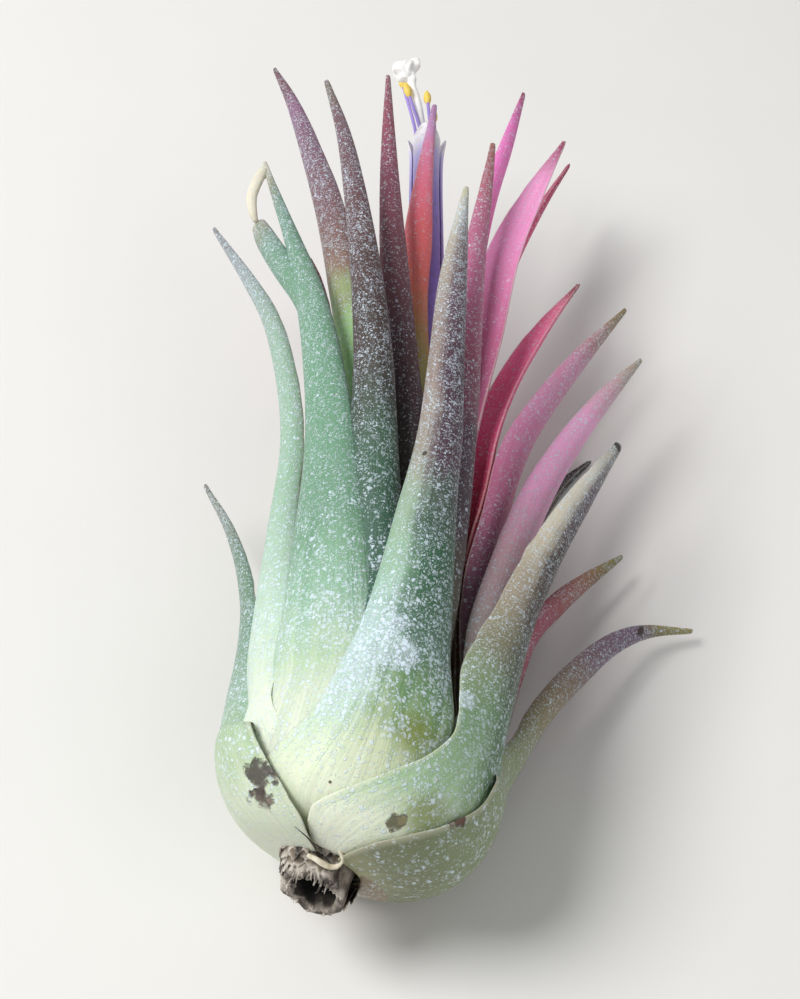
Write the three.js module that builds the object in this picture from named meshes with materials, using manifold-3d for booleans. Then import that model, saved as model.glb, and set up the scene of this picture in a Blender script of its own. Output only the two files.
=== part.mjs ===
// A small air plant (Tillandsia ionantha) in flower, lying on its side.
// Millimetres, +Z up, +Y from the dry stump towards the leaf tips, +X to the right.
// The origin is the flat spot under the bulb that the plant rests on, so the surface is z = 0.
import * as THREE from 'three';
import { mergeVertices } from 'three/addons/utils/BufferGeometryUtils.js';
import Module from 'manifold-3d';

const wasm = await Module();
wasm.setup();

// Driving dimensions
const BULB_RADIUS = 11.1; // outside of the nested leaf bases
const BULB_CENTRE = 10.8; // height of the bulb's middle over the surface, so 0.3 mm is pressed flat
const FOOT = 2.2; // distance along the stem from its cut end to the lowest leaf
const BELLY = 10.6; // to the bulb's widest place
const BLUNTNESS = 2.3; // 2 would make the bulb's foot a quarter of an ellipse
const NECK = 36; // and to the place where the bulb has narrowed to a bunch of blades
const NECK_RADIUS = 5.5;
const STEM_RADIUS = 2.4;
const STEM_TOP_RADIUS = 1.1;
const STEM_LENGTH = 30;
const HOLLOW_RADIUS = 1.6; // the rotted pith of the cut end
const HOLLOW_DEPTH = 2.4;
const GAP = 0.3; // air left between neighbouring pieces
const FOOT_RAMP = 4.5; // most distance in which a leaf base swells from the stem to its full radius
const FLARE = 40; // extra degrees that a leaf base clasps at its foot
const FLARE_LENGTH = 7; // distance in which that extra clasp has gone
const FOOT_THICK = 0.45; // leaf base where it leaves the stem
const SHEATH_THICK = 0.75; // middle of a leaf base
const BLADE_THICK = 1.1; // midrib of a blade
const TIP_THICK = 0.4;
const CHANNEL = 0.55; // depth of a blade's channel as a share of half its width
const TUBE_RADIUS = 1.5; // the three rolled petals
const PETAL_THICK = 0.3;
const PETAL_WRAP = 53; // half the angle that a petal takes of the tube
const SEPAL_THICK = 0.35;
const SEPAL_WRAP = 50;
const OVARY_RADIUS = 0.9;
const OVARY_LENGTH = 4;
const FILAMENT_RADIUS = 0.2;
const STYLE_RADIUS = 0.3;

// Mesh fineness
const RINGS = 15; // stations along a leaf
const SECTION_POINTS = 10; // points round a leaf's section
const BLADE_BEND = 80; // degrees of arc on each side of a blade's midrib

const vector = (point) => new THREE.Vector3(...point);
const radians = THREE.MathUtils.degToRad;
const blend = THREE.MathUtils.lerp;
const between = (value) => THREE.MathUtils.clamp(value, 0, 1);

// The stem's own line. It bends to the right out of the stump, then runs up the plant.
const AXIS = new THREE.CatmullRomCurve3([
  vector([-3.3, -10.2, 9.0]),
  vector([-0.4, 0, BULB_CENTRE]),
  vector([1.0, 20, BULB_CENTRE + 2]),
  vector([1.4, 42, BULB_CENTRE + 4.5]),
]);
const AXIS_LENGTH = AXIS.getLength();

// The stem's frame at a distance from its cut end: its point, its direction, and right and up across it.
function stemFrame(height) {
  const share = between(height / AXIS_LENGTH);
  const along = AXIS.getTangentAt(share);
  const right = along.clone().cross(new THREE.Vector3(0, 0, 1)).normalize();
  const up = right.clone().cross(along);
  return { point: AXIS.getPointAt(share), along, right, up };
}

// A direction across the stem. Turn 0 is straight up, 90 is to the right, 180 is down.
function outward(frame, turn) {
  const angle = radians(turn);
  return frame.up.clone().multiplyScalar(Math.cos(angle)).addScaledVector(frame.right, Math.sin(angle));
}

const stemRadius = (height) => blend(STEM_RADIUS, STEM_TOP_RADIUS, between(height / STEM_LENGTH));

// Radius of the bulb's outside at a distance along the stem: a blunt foot, then a long taper.
function bulbRadius(height) {
  if (height < BELLY) {
    const short = 1 - between((height - FOOT) / (BELLY - FOOT));
    return STEM_RADIUS + (BULB_RADIUS - STEM_RADIUS) * (1 - short ** BLUNTNESS) ** (1 / BLUNTNESS);
  }
  const share = between((height - BELLY) / (NECK - BELLY));
  return NECK_RADIUS + ((BULB_RADIUS - NECK_RADIUS) * (1 + Math.cos(Math.PI * share))) / 2;
}

// Leaves from the outside of the rosette to its heart. Each row gives
//   turn   where it stands round the stem
//   foot   where it leaves the stem, over the lowest leaf, and sunk, how deep it lies in the bulb
//   wrap   half the angle that its base clasps, and rise, how far its base follows the bulb
//   blade  x, y, z of the midrib and the width there, from the shoulder to the tip
const LEAVES = [
  { name: 'outer_leaf_under', color: 0x8a765c, turn: 165, foot: 0, sunk: 0.4, wrap: 50, rise: 11,
    blade: [[0.8, 10, 1.2, 8], [0.6, 18, 1.1, 5], [0.2, 27, 0.9, 3.4], [-0.8, 36, 0.7, 2],
      [-1.8, 42, 0.6, 0.4]] },
  { name: 'outer_leaf_right_low', color: 0x8f9b66, turn: 118, foot: 0.2, sunk: 0.45, wrap: 62, rise: 8,
    blade: [[11, 3.4, 6.2, 4.6], [12.8, 7.6, 5.8, 3.2], [16, 13, 5, 2.4], [19.3, 17.4, 3.6, 1.8],
      [22, 19.4, 2.5, 1.2], [25.6, 20.4, 1.5, 0.4]] },
  { name: 'outer_leaf_left', color: 0x9db58c, turn: -98, foot: 0.2, sunk: 0.45, wrap: 54, rise: 7,
    blade: [[-11.2, 1.6, 9.4, 7], [-11.5, 5.6, 9, 4.2], [-11, 11.5, 8.7, 2.4], [-11.8, 18.2, 8, 1.9],
      [-13.9, 24.2, 7, 1.3], [-16.7, 29.8, 6, 0.35]] },
  { name: 'outer_leaf_right', color: 0x8fa77a, turn: 66, foot: 0.6, sunk: 1.1, wrap: 42, rise: 9,
    blade: [[9.6, 4.6, 15.2, 6.4], [10.8, 10.3, 15.2, 4.2], [12.4, 15.8, 15, 3.4], [14.9, 22.5, 14, 2.6],
      [16.8, 27.2, 13, 1.7], [18.6, 31.6, 12, 0.8]] },
  { name: 'outer_leaf_under_left', color: 0x8ea380, turn: -146, foot: 0.8, sunk: 1.1, wrap: 50, rise: 11,
    blade: [[-6.4, 12, 3.2, 6], [-7.2, 20, 2.4, 4], [-8.2, 28, 1.7, 2.8], [-9.6, 36, 1, 1.8],
      [-11, 42, 0.6, 0.4]] },
  { name: 'outer_leaf_front', color: 0x93b08a, turn: 10, foot: 1.2, sunk: 1.8, wrap: 34, rise: 9,
    blade: [[2.6, 7, 19.6, 6.6], [3.35, 17, 20.6, 4.5], [3.9, 23.3, 21.6, 3.5], [4, 30.5, 23.2, 2.8],
      [4.1, 38.2, 24.6, 2.2], [4.6, 47.2, 26, 0.35]] },
  { name: 'outer_leaf_under_right', color: 0x7c7a5a, turn: 142, foot: 1.4, sunk: 1.6, wrap: 44, rise: 12,
    blade: [[6.8, 13, 3.6, 5], [8.6, 20, 2.6, 3.5], [11, 28, 1.7, 2.6], [14.2, 35.6, 0.9, 1.8],
      [17, 39.6, 0.6, 0.5]] },
  { name: 'middle_leaf_torn', torn: true, color: 0x7fae8c, turn: -34, foot: 1.8, sunk: 2.4, wrap: 34,
    rise: 9,
    blade: [[-5, 7.5, 17.2, 9], [-5.2, 16.9, 17.8, 6.8], [-5.5, 23.6, 18.5, 5], [-6.4, 30.7, 19, 3.9],
      [-8.3, 39.9, 19, 2.9], [-10.5, 47.3, 19, 1.5], [-12.3, 52.4, 19, 0.9], [-14.1, 57.6, 19, 0.35]] },
  { name: 'middle_leaf_right_1', color: 0xa9685c, turn: 98, foot: 2.2, sunk: 1.9, wrap: 44, rise: 9,
    blade: [[9.8, 6.5, 7, 3.4], [11.8, 15.3, 6, 2.6], [14.2, 19.7, 5, 2.2], [16.8, 23.3, 4, 1.5],
      [19.6, 26.8, 3, 0.35]] },
  { name: 'middle_leaf_left', color: 0x8fb38a, turn: -78, foot: 2.4, sunk: 2.4, wrap: 44, rise: 10,
    blade: [[-9.2, 8, 11.4, 6.4], [-9.4, 15.1, 11.2, 4.8], [-9.3, 22.3, 11.4, 3.6],
      [-9.2, 29.1, 12, 3.0], [-10.2, 35.9, 12.3, 2.7], [-12.5, 43.9, 12.5, 2.1], [-15, 48.8, 12.5, 1.5],
      [-19.1, 56.2, 12, 0.35]] },
  { name: 'middle_leaf_right_2', color: 0xa87c84, turn: 72, foot: 2.8, sunk: 2.7, wrap: 42, rise: 9,
    blade: [[8.6, 9, 13.8, 4.2], [10.2, 17.9, 13, 3.4], [12, 25.1, 12, 3.0], [14.9, 32.8, 11, 2.4],
      [17.9, 38.7, 10.5, 1.7], [20.8, 43.7, 10, 0.35]] },
  { name: 'middle_leaf_centre', color: 0x6d6a5e, turn: -8, foot: 3.2, sunk: 3.3, wrap: 40, rise: 9,
    blade: [[-0.6, 11.5, 17.6, 6], [-1.2, 18.8, 18.6, 4.4], [-1.7, 25.6, 19.8, 3.7],
      [-2.2, 31.9, 21.2, 3.2], [-3.3, 39.5, 22.8, 2.6], [-4.9, 47.9, 24.2, 1.9], [-6.5, 54.9, 25, 1.2],
      [-8.6, 61.3, 25.6, 0.35]] },
  { name: 'middle_leaf_under_left', color: 0x86a07c, turn: -122, foot: 3.6, sunk: 3.3, wrap: 40, rise: 10,
    blade: [[-5.4, 15, 7.6, 4], [-5.6, 24, 6.6, 3], [-6, 31, 5.4, 2.5], [-6.6, 38, 4.6, 1.8],
      [-7.4, 43, 4, 0.4]] },
  { name: 'middle_leaf_right_3', color: 0xb0727e, turn: 86, foot: 4, sunk: 3.5, wrap: 38, rise: 9,
    blade: [[7.4, 13, 11.6, 3.6], [8.8, 23.5, 11, 3.2], [10.3, 31.8, 10.5, 3.0], [12.8, 38.2, 10, 2.5],
      [16.3, 45.1, 9.5, 1.7], [19.6, 51.1, 9, 0.35]] },
  { name: 'middle_leaf_dusky', color: 0x7d6468, turn: 30, foot: 4.4, sunk: 3.8, wrap: 38, rise: 9,
    blade: [[4.4, 12, 16.8, 4.6], [5.2, 20, 18, 3.4], [5.5, 27.4, 19, 3.1], [5.6, 35.7, 20.6, 2.6],
      [5.8, 44.6, 21.2, 2.0], [6.3, 51.7, 21.8, 1.2], [6.6, 58, 22, 0.35]] },
  { name: 'middle_leaf_under_right', color: 0x8d7a66, turn: 134, foot: 4.8, sunk: 3.9, wrap: 38, rise: 10,
    blade: [[5.2, 15, 7, 3.8], [6, 24, 6, 3], [6.8, 31, 5, 2.4], [7.6, 37, 4.2, 1.7],
      [8.4, 41, 3.6, 0.4]] },
  { name: 'inner_leaf_left', color: 0x8a6a66, turn: -38, foot: 5.4, sunk: 4.5, wrap: 36, rise: 9,
    blade: [[-2.8, 16, 15.2, 4], [-3.4, 25, 15.6, 3.4], [-3.9, 31.4, 16, 3.1], [-4.7, 37.3, 17, 3.0],
      [-6.3, 44.8, 18, 3.0], [-7.9, 52, 18.5, 3.0], [-10.7, 60.9, 19, 2.0], [-12.7, 66.7, 19, 1.2],
      [-14.8, 71.5, 19, 0.35]] },
  { name: 'inner_leaf_right', color: 0xc04a5e, turn: 104, foot: 5.8, sunk: 4.5, wrap: 36, rise: 9,
    blade: [[5.8, 17, 9.8, 2.8], [7, 26.4, 10, 2.7], [7.5, 33.1, 10, 2.7], [9.2, 40.7, 9, 2.5],
      [11.8, 47.2, 9, 1.9], [15.3, 55.2, 8, 0.35]] },
  { name: 'inner_leaf_small', color: 0xb58a80, turn: -78, foot: 6.2, sunk: 4.6, wrap: 34, rise: 9,
    blade: [[-4.8, 18, 12.4, 3], [-5.6, 27, 12.4, 2.6], [-6.4, 35, 13, 2.4], [-7.4, 42.5, 13.8, 2.2],
      [-8.5, 47, 14, 1.6], [-9.4, 50.4, 14, 0.35]] },
  { name: 'inner_leaf_under', color: 0x9a8a6e, turn: 178, foot: 6.6, sunk: 4.8, wrap: 34, rise: 9,
    blade: [[0.8, 19, 7.6, 3.6], [0.6, 28, 7, 3], [0, 36, 6.6, 2.5], [-1, 44, 6.2, 1.8], [-2.4, 51, 6, 0.4]] },
  { name: 'inner_leaf_dark', color: 0x5f3f40, turn: 14, foot: 7, sunk: 5.1, wrap: 34, rise: 9,
    blade: [[1.8, 18, 15.6, 3.6], [1.5, 27.4, 17, 3.0], [0.5, 32, 18, 2.9], [-0.6, 39.9, 19.4, 2.7],
      [-1.7, 48.5, 20.6, 2.1], [-2.6, 57, 21.4, 1.4], [-3.5, 67.2, 22, 0.35]] },
  { name: 'inner_leaf_blush', color: 0xb8607c, turn: 108, foot: 7.6, sunk: 5.4, wrap: 32, rise: 9,
    blade: [[4.8, 22, 11.6, 3.2], [5.8, 34, 11.8, 3.2], [6.7, 43.2, 12, 3.6], [8.1, 53.7, 12.2, 3.3],
      [10.5, 62.2, 12.2, 2.3], [13.5, 71.2, 12, 0.35]] },
  { name: 'inner_leaf_blush_low', color: 0xc0506e, turn: 124, foot: 8, sunk: 5.5, wrap: 30, rise: 9,
    blade: [[4.4, 23, 9.4, 2.8], [5.6, 35, 8.8, 2.5], [6.9, 45, 8.8, 2.3], [8.9, 56, 8.9, 1.9],
      [11.8, 65.1, 9, 1.3], [14.2, 71.4, 9, 0.35]] },
  { name: 'inner_leaf_red', color: 0xc2405c, turn: 52, foot: 8.4, sunk: 5.6, wrap: 30, rise: 9,
    blade: [[3.4, 22, 15, 2.8], [4.6, 35, 15.2, 2.3], [5.4, 44, 15, 2.2], [5.9, 52, 15, 2.2],
      [6.7, 59, 15, 2.1], [7.9, 65.8, 15, 1.5], [9.3, 74.6, 15, 0.35]] },
  { name: 'inner_leaf_low', color: 0x8fa06e, turn: -146, foot: 8.8, sunk: 5.7, wrap: 30, rise: 9,
    blade: [[-1.2, 22, 9.8, 2.8], [-2, 32, 9.8, 2.4], [-3.2, 42, 10, 1.9], [-4.8, 51, 10.2, 0.35]] },
  { name: 'floral_bract', color: 0xd46a58, turn: -6, foot: 16, sunk: 6.2, wrap: 44, rise: 6,
    blade: [[1.4, 24, 15.6, 2.8], [1.2, 37, 15.9, 1.8], [0.7, 43.3, 16.8, 2.0], [0.5, 49.6, 17.8, 2.7],
      [0.6, 57, 18.5, 1.9], [0.9, 67, 19, 0.35]] },
];

// One station along a strip: where its midrib is, the ways its back and its edge look there, its
// section's two radii with its thickness, and its bend in degrees. A blade is free: it stands square
// to its own midrib, where a sheath stands square to the stem.
function station(point, out, along, radii, thick, bend, free) {
  return {
    point,
    out,
    side: out.clone().cross(along),
    section: new THREE.Vector3(...radii, thick),
    bend: radians(bend),
    free,
  };
}

// The stations of a leaf from the stem to its tip.
function leafStations(leaf) {
  const rows = [];
  for (const step of [0, 0.1, 0.25, 0.5, 0.75, 1]) {
    const climbed = step * leaf.rise;
    const height = FOOT + leaf.foot + climbed;
    const frame = stemFrame(height);
    const out = outward(frame, leaf.turn);
    const short = 1 - between(climbed / Math.min(FOOT_RAMP, 0.6 + leaf.foot));
    const start = stemRadius(height) + GAP + FOOT_THICK / 2;
    const full = Math.max(start, bulbRadius(height) - leaf.sunk);
    const radius = blend(start, full, Math.sqrt(1 - short * short));
    const bend = leaf.wrap + FLARE * (1 - between(climbed / FLARE_LENGTH)) ** 1.5;
    const thick = blend(FOOT_THICK, SHEATH_THICK, between(step * 3));
    const point = frame.point.clone().addScaledVector(out, radius);
    rows.push(station(point, out, frame.along, [radius, radius], thick, bend, 0));
  }
  const { out, side } = rows[rows.length - 1];
  const along = side.clone().cross(out);
  return rows.concat(bladeStations(leaf.blade, out, along));
}

function bladeStations(blade, out, along) {
  const widest = radians(BLADE_BEND);
  return blade.map(([x, y, z, width], i) => {
    const share = i / (blade.length - 1);
    const radii = [width / 2 / Math.sin(widest), (width / 2) * (CHANNEL / (1 - Math.cos(widest)))];
    const thick = blend(BLADE_THICK, TIP_THICK, share ** 1.5);
    return station(vector([x, y, z]), out, along, radii, thick, BLADE_BEND, 1);
  });
}

// The faces that close one end of a strip. They step from one side of the section to the other, so
// they bend with it. The section's points start at index first.
function endFaces(first, points, facesUp) {
  const faces = [];
  for (let k = 0; k < points / 2; k++) {
    const corners = [k, k + 1, points - k - 1, points - k].map((i) => first + (i % points));
    for (const face of [[0, 1, 2], [0, 2, 3]]) {
      const three = face.map((i) => corners[i]);
      if (new Set(three).size === 3) faces.push(...(facesUp ? three : three.reverse()));
    }
  }
  return faces;
}

// A strip through its stations. A cylinder's round section is pressed flat and bent across the midrib.
function stripGeometry(rows, grown = 0, rings = RINGS, points = SECTION_POINTS) {
  const last = rows.length - 1;
  const midrib = new THREE.CatmullRomCurve3(rows.map((row) => row.point));
  const sections = new THREE.CatmullRomCurve3(rows.map((row) => row.section), false, 'catmullrom', 0.5);

  // Middle of the strip's thickness, at t along it and at share across it, from -1 to 1.
  function middle(t, share) {
    const before = rows[Math.floor(t * last)];
    const after = rows[Math.ceil(t * last)];
    const part = (t * last) % 1;
    const along = midrib.getTangent(t);
    const free = blend(before.free, after.free, part);
    const out = before.out.clone().lerp(after.out, part);
    const side = before.side.clone().lerp(after.side, part);
    out.addScaledVector(along, -out.dot(along) * free).normalize();
    side.addScaledVector(along, -side.dot(along) * free).normalize();
    const section = sections.getPoint(t);
    const wide = Math.max(section.x, 0.12);
    const deep = Math.max(section.y, 0.05);
    const bend = (blend(before.bend, after.bend, part) + grown / wide) * share;
    const point = midrib.getPoint(t).addScaledVector(side, wide * Math.sin(bend));
    return point.addScaledVector(out, -deep * (1 - Math.cos(bend)));
  }

  const step = 0.002;
  const geometry = new THREE.CylinderGeometry(1, 1, 1, points, rings - 1, true);
  const ends = [...endFaces(0, points, true), ...endFaces((rings - 1) * (points + 1), points, false)];
  geometry.setIndex([...geometry.index.array, ...ends]);
  const position = geometry.attributes.position;
  for (let i = 0; i < position.count; i++) {
    const t = between(position.getY(i) + 0.5);
    const across = Math.asin(THREE.MathUtils.clamp(position.getZ(i), -1, 1)) / (Math.PI / 2);
    const lengthwise = middle(Math.min(1, t + step), across).sub(middle(Math.max(0, t - step), across));
    const crosswise = middle(t, across + step).sub(middle(t, across - step));
    const normal = lengthwise.cross(crosswise).normalize();
    const thick = Math.max(sections.getPoint(t).z, 0.25) / 2 + grown;
    const point = middle(t, across).addScaledVector(normal, thick * position.getX(i));
    position.setXYZ(i, point.x, point.y, point.z);
  }
  return welded(geometry);
}

// A round rod along a curve, with its radius given by a function of the share of its length.
function rodGeometry(curve, radiusAt, rings, sides) {
  const geometry = new THREE.CylinderGeometry(1, 1, 1, sides, rings);
  const position = geometry.attributes.position;
  for (let i = 0; i < position.count; i++) {
    const t = between(position.getY(i) + 0.5);
    const along = curve.getTangentAt(t);
    const right = along.clone().cross(new THREE.Vector3(0, 0, 1)).normalize();
    const up = right.clone().cross(along);
    const point = curve.getPointAt(t).addScaledVector(right, radiusAt(t) * position.getX(i));
    point.addScaledVector(up, radiusAt(t) * position.getZ(i));
    position.setXYZ(i, point.x, point.y, point.z);
  }
  return welded(geometry);
}

function welded(geometry) {
  geometry.deleteAttribute('normal');
  geometry.deleteAttribute('uv');
  return mergeVertices(geometry, 1e-4);
}

function solidFrom(vertProperties, triVerts) {
  return new wasm.Manifold(new wasm.Mesh({ numProp: 3, vertProperties, triVerts }));
}

function solidOf(geometry) {
  return solidFrom(geometry.attributes.position.array, new Uint32Array(geometry.index.array));
}

const join = (solids) => wasm.Manifold.union(solids);

// The torn leaf has split near its tip: a blunt lobe on its left, and a dry curl off its point.
const TORN_LOBE = [[-6.6, 34, 18.6, 2.4], [-8.6, 40.5, 18.4, 2.4], [-11.4, 45.5, 18, 2.3],
  [-13.4, 49.5, 17.4, 2.0], [-14.2, 51.6, 17, 1.4]];
const DRY_CURL = [[-13.9, 56.5, 18.9, 0.6], [-14.4, 55.2, 18.8, 0.9], [-14.8, 53.5, 18.3, 0.9],
  [-14.5, 51.9, 17.8, 0.5]];

// A leaf as one solid, with what has torn loose from it.
function leafSolid(leaf, grown = 0) {
  const rows = leafStations(leaf);
  const parts = [solidOf(stripGeometry(rows, grown))];
  if (leaf.torn) {
    const { out, side } = rows[rows.length - 1];
    for (const strip of [TORN_LOBE, DRY_CURL]) {
      parts.push(solidOf(stripGeometry(bladeStations(strip, out, side.clone().cross(out)), grown, 6, 8)));
    }
  }
  return join(parts);
}

// Remains of the oldest leaves, dry and thin, round the stump. Each row gives its turn and half angle,
// and for its stations the distance along the stem, the distance out from it and the thickness.
const OLD_SHEATHS = [
  { name: 'old_sheath_collar', color: 0x6b5a48, turn: -52, wrap: 66,
    rows: [[0.5, 3.1, 0.4], [1.1, 3.2, 0.4], [1.8, 3.3, 0.4]] },
  { name: 'old_sheath_under', color: 0x6b5a48, turn: 168, wrap: 56,
    rows: [[0.6, 3.1, 0.4], [1.2, 3.2, 0.4], [1.9, 3.3, 0.4]] },
  { name: 'old_sheath_curl', color: 0xcfc4ae, turn: 38, wrap: 17,
    rows: [[1.7, 3.1, 0.35], [1.2, 3.6, 0.4], [0.9, 4.2, 0.35], [1.2, 4.9, 0.3]] },
];

function oldSheathSolid(sheath, grown = 0) {
  const rows = sheath.rows.map(([height, radius, thick]) => {
    const frame = stemFrame(height);
    const out = outward(frame, sheath.turn);
    const point = frame.point.clone().addScaledVector(out, radius);
    return station(point, out, frame.along, [radius, radius], thick, sheath.wrap, 0);
  });
  return solidOf(stripGeometry(rows, grown, 5));
}

// The stem is solid but for the rotted pith at its cut end.
function stemSolid(grown = 0) {
  const whole = new THREE.CatmullRomCurve3(AXIS.points.slice(0, 3));
  const stem = solidOf(rodGeometry(whole, (t) => stemRadius(t * STEM_LENGTH) + grown, 12, 14));
  if (grown) return stem;
  const outside = stemFrame(0).point.addScaledVector(stemFrame(0).along, -1);
  const pith = new THREE.LineCurve3(outside, stemFrame(HOLLOW_DEPTH).point);
  return stem.subtract(solidOf(rodGeometry(pith, (t) => HOLLOW_RADIUS * (1 - 0.3 * t), 1, 10)));
}

// The flower's line goes on from the stem's top. Its parts stand round it in threes.
const STEM_TOP = AXIS.points[2];
const FLOWER_LINE = new THREE.CatmullRomCurve3([
  STEM_TOP.clone().addScaledVector(AXIS.getTangent(2 / 3), GAP),
  vector([1.5, 32, 13.4]),
  vector([1.6, 42, 14.0]),
  vector([0.9, 53, 15.3]),
  vector([0.3, 65, 17]),
]);

function flowerFrame(share) {
  const along = FLOWER_LINE.getTangentAt(share);
  const right = along.clone().cross(new THREE.Vector3(0, 0, 1)).normalize();
  return { point: FLOWER_LINE.getPointAt(share), along, right, up: right.clone().cross(along) };
}

// A petal or a sepal: a strip that wraps a third of the way round the flower's line.
function whorlSolid(turn, wrap, profile, thick, grown = 0) {
  const rows = profile.map(([share, radius]) => {
    const frame = flowerFrame(share);
    const out = outward(frame, turn);
    const point = frame.point.clone().addScaledVector(out, radius);
    return station(point, out, frame.along, [radius, radius], thick, wrap, 0);
  });
  return solidOf(stripGeometry(rows, grown, 8));
}

const THIRDS = [0, 120, 240];
const PETAL_PROFILE = [[0.02, 1.35], [0.12, 1.4], [0.3, TUBE_RADIUS], [0.6, TUBE_RADIUS], [0.85, 1.45],
  [0.95, 1.55], [1, 1.8]];
const SEPAL_PROFILE = [[0.02, 1.95], [0.12, 2.05], [0.25, 2.1], [0.36, 2.0]];

// Where the style and the six filaments go once they leave the mouth of the flower.
const STYLE_TIP = [[-0.9, 68.6, 18.2], [-1.4, 69.9, 18.6], [-1.65, 71.8, 19.0]];
const STIGMA_LOBES = [[-3.1, 71.8, 19.1], [-1.75, 72.9, 19.1], [-2.5, 71.0, 18.5]];
const ANTHERS = [[0.1, 69.1, 18.0], [0.8, 67.6, 17.0], [-0.8, 69.1, 16.3], [-1.1, 70.7, 16.5],
  [-2.5, 72.6, 17.0], [-1.75, 68.8, 19.0]];

// The ovary swells at the foot of the style, which ends in a stigma of three lobes.
function pistilSolid() {
  const line = new THREE.CatmullRomCurve3([
    ...[0, 0.1, 0.3, 0.5, 0.7, 0.9].map((share) => flowerFrame(share).point),
    ...STYLE_TIP.map(vector),
  ]);
  const ovaryShare = OVARY_LENGTH / line.getLength();
  const swelling = (t) => Math.sin(Math.PI * between((t + ovaryShare / 4) / (ovaryShare * 1.5)));
  const radiusAt = (t) => Math.max(STYLE_RADIUS, OVARY_RADIUS * swelling(t));
  const parts = [solidOf(rodGeometry(line, radiusAt, 26, 8))];
  for (const lobe of STIGMA_LOBES) {
    const from = vector(STYLE_TIP[2]);
    const to = vector(lobe);
    const curve = new THREE.LineCurve3(from.clone().lerp(to, -0.3), from.clone().lerp(to, 1.3));
    parts.push(solidOf(rodGeometry(curve, (t) => 0.25 + 0.5 * Math.sin(Math.PI * t * 0.9), 3, 6)));
  }
  return join(parts);
}

// A filament that runs up inside the petals, with its anther on the end.
function stamenSolid(i) {
  const turn = i * 60 + 30;
  const inTube = [0.12, 0.4, 0.7, 0.97].map((share) => {
    const frame = flowerFrame(share);
    return frame.point.addScaledVector(outward(frame, turn), 0.85);
  });
  const anther = vector(ANTHERS[i]);
  const line = new THREE.CatmullRomCurve3([...inTube, anther]);
  const end = line.getTangent(1);
  const from = anther.clone().addScaledVector(end, -0.7);
  const sac = new THREE.LineCurve3(from, from.clone().addScaledVector(end, 1.6));
  return join([
    solidOf(rodGeometry(line, () => FILAMENT_RADIUS, 14, 6)),
    solidOf(rodGeometry(sac, (t) => 0.12 + 0.26 * Math.sin(Math.PI * t), 4, 6)),
  ]);
}

// Every piece in the order in which it keeps its shape. Each is cut back by GAP from those before it.
const pieces = [{ name: 'stem', color: 0x4f4438, make: stemSolid }];
for (const sheath of OLD_SHEATHS) {
  pieces.push({ name: sheath.name, color: sheath.color, make: (grown) => oldSheathSolid(sheath, grown) });
}
THIRDS.forEach((turn, i) => {
  const make = (grown) => whorlSolid(turn, PETAL_WRAP, PETAL_PROFILE, PETAL_THICK, grown);
  pieces.push({ name: `petal_${i + 1}`, color: 0x6a55b8, make });
});
THIRDS.forEach((turn, i) => {
  const make = (grown) => whorlSolid(turn + 60, SEPAL_WRAP, SEPAL_PROFILE, SEPAL_THICK, grown);
  pieces.push({ name: `sepal_${i + 1}`, color: 0xa9b98a, make });
});
pieces.push({ name: 'pistil', color: 0xf4f0e6, make: pistilSolid });
ANTHERS.forEach((anther, i) => {
  pieces.push({ name: `stamen_${i + 1}`, color: 0xe9c25a, make: () => stamenSolid(i) });
});
for (const leaf of [LEAVES[LEAVES.length - 1], ...LEAVES.slice(0, -1)]) {
  pieces.push({ name: leaf.name, color: leaf.color, make: (grown) => leafSolid(leaf, grown) });
}

// True where two boxes of solids meet.
function boxesMeet(a, b) {
  return [0, 1, 2].every((axis) => a.min[axis] < b.max[axis] && b.min[axis] < a.max[axis]);
}

// A solid without the crumbs that cutting leaves: only its largest body.
function largestBody(solid) {
  return solid.decompose().sort((a, b) => b.volume() - a.volume())[0];
}

function meshOf(name, color, solid) {
  const { vertProperties, triVerts } = solid.getMesh();
  const geometry = new THREE.BufferGeometry();
  geometry.setAttribute('position', new THREE.BufferAttribute(vertProperties, 3));
  geometry.setIndex(new THREE.BufferAttribute(triVerts, 1));
  const material = new THREE.MeshStandardMaterial({ color, roughness: 0.75, metalness: 0 });
  const mesh = new THREE.Mesh(geometry, material);
  mesh.name = name;
  return mesh;
}

// What is left of a piece once the pieces before it, with air round them, are cut out of it. It is
// made anew from its mesh, because a solid that remembers all of its cuts fills the memory.
function cutBack(whole, before) {
  const box = whole.boundingBox();
  let rest = whole;
  for (const { solid, room } of before) {
    if (!boxesMeet(box, room.boundingBox())) continue;
    rest = rest.subtract(room);
    if (rest.intersect(solid).volume() > 0) rest = rest.subtract(solid);
  }
  const { vertProperties, triVerts } = largestBody(rest.trimByPlane([0, 0, 1], 0)).getMesh();
  return solidFrom(vertProperties, triVerts);
}

const plant = new THREE.Group();
const kept = [];
for (const { name, color, make } of pieces) {
  const solid = cutBack(make(0), kept);
  plant.add(meshOf(name, color, solid));
  kept.push({ solid, room: make(GAP) });
}

export default plant;
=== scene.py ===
# A small air plant in flower, lying on its side: a rosette of channelled leaves whose clasping
# bases make a bulb. It is put together from the stem outwards. Sizes are in millimetres until MM
# turns them into metres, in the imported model's frame: +Y from the stump to the leaf tips, +Z up.
import math
import random

import bmesh
import bpy
import numpy as np
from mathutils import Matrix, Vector, noise


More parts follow.
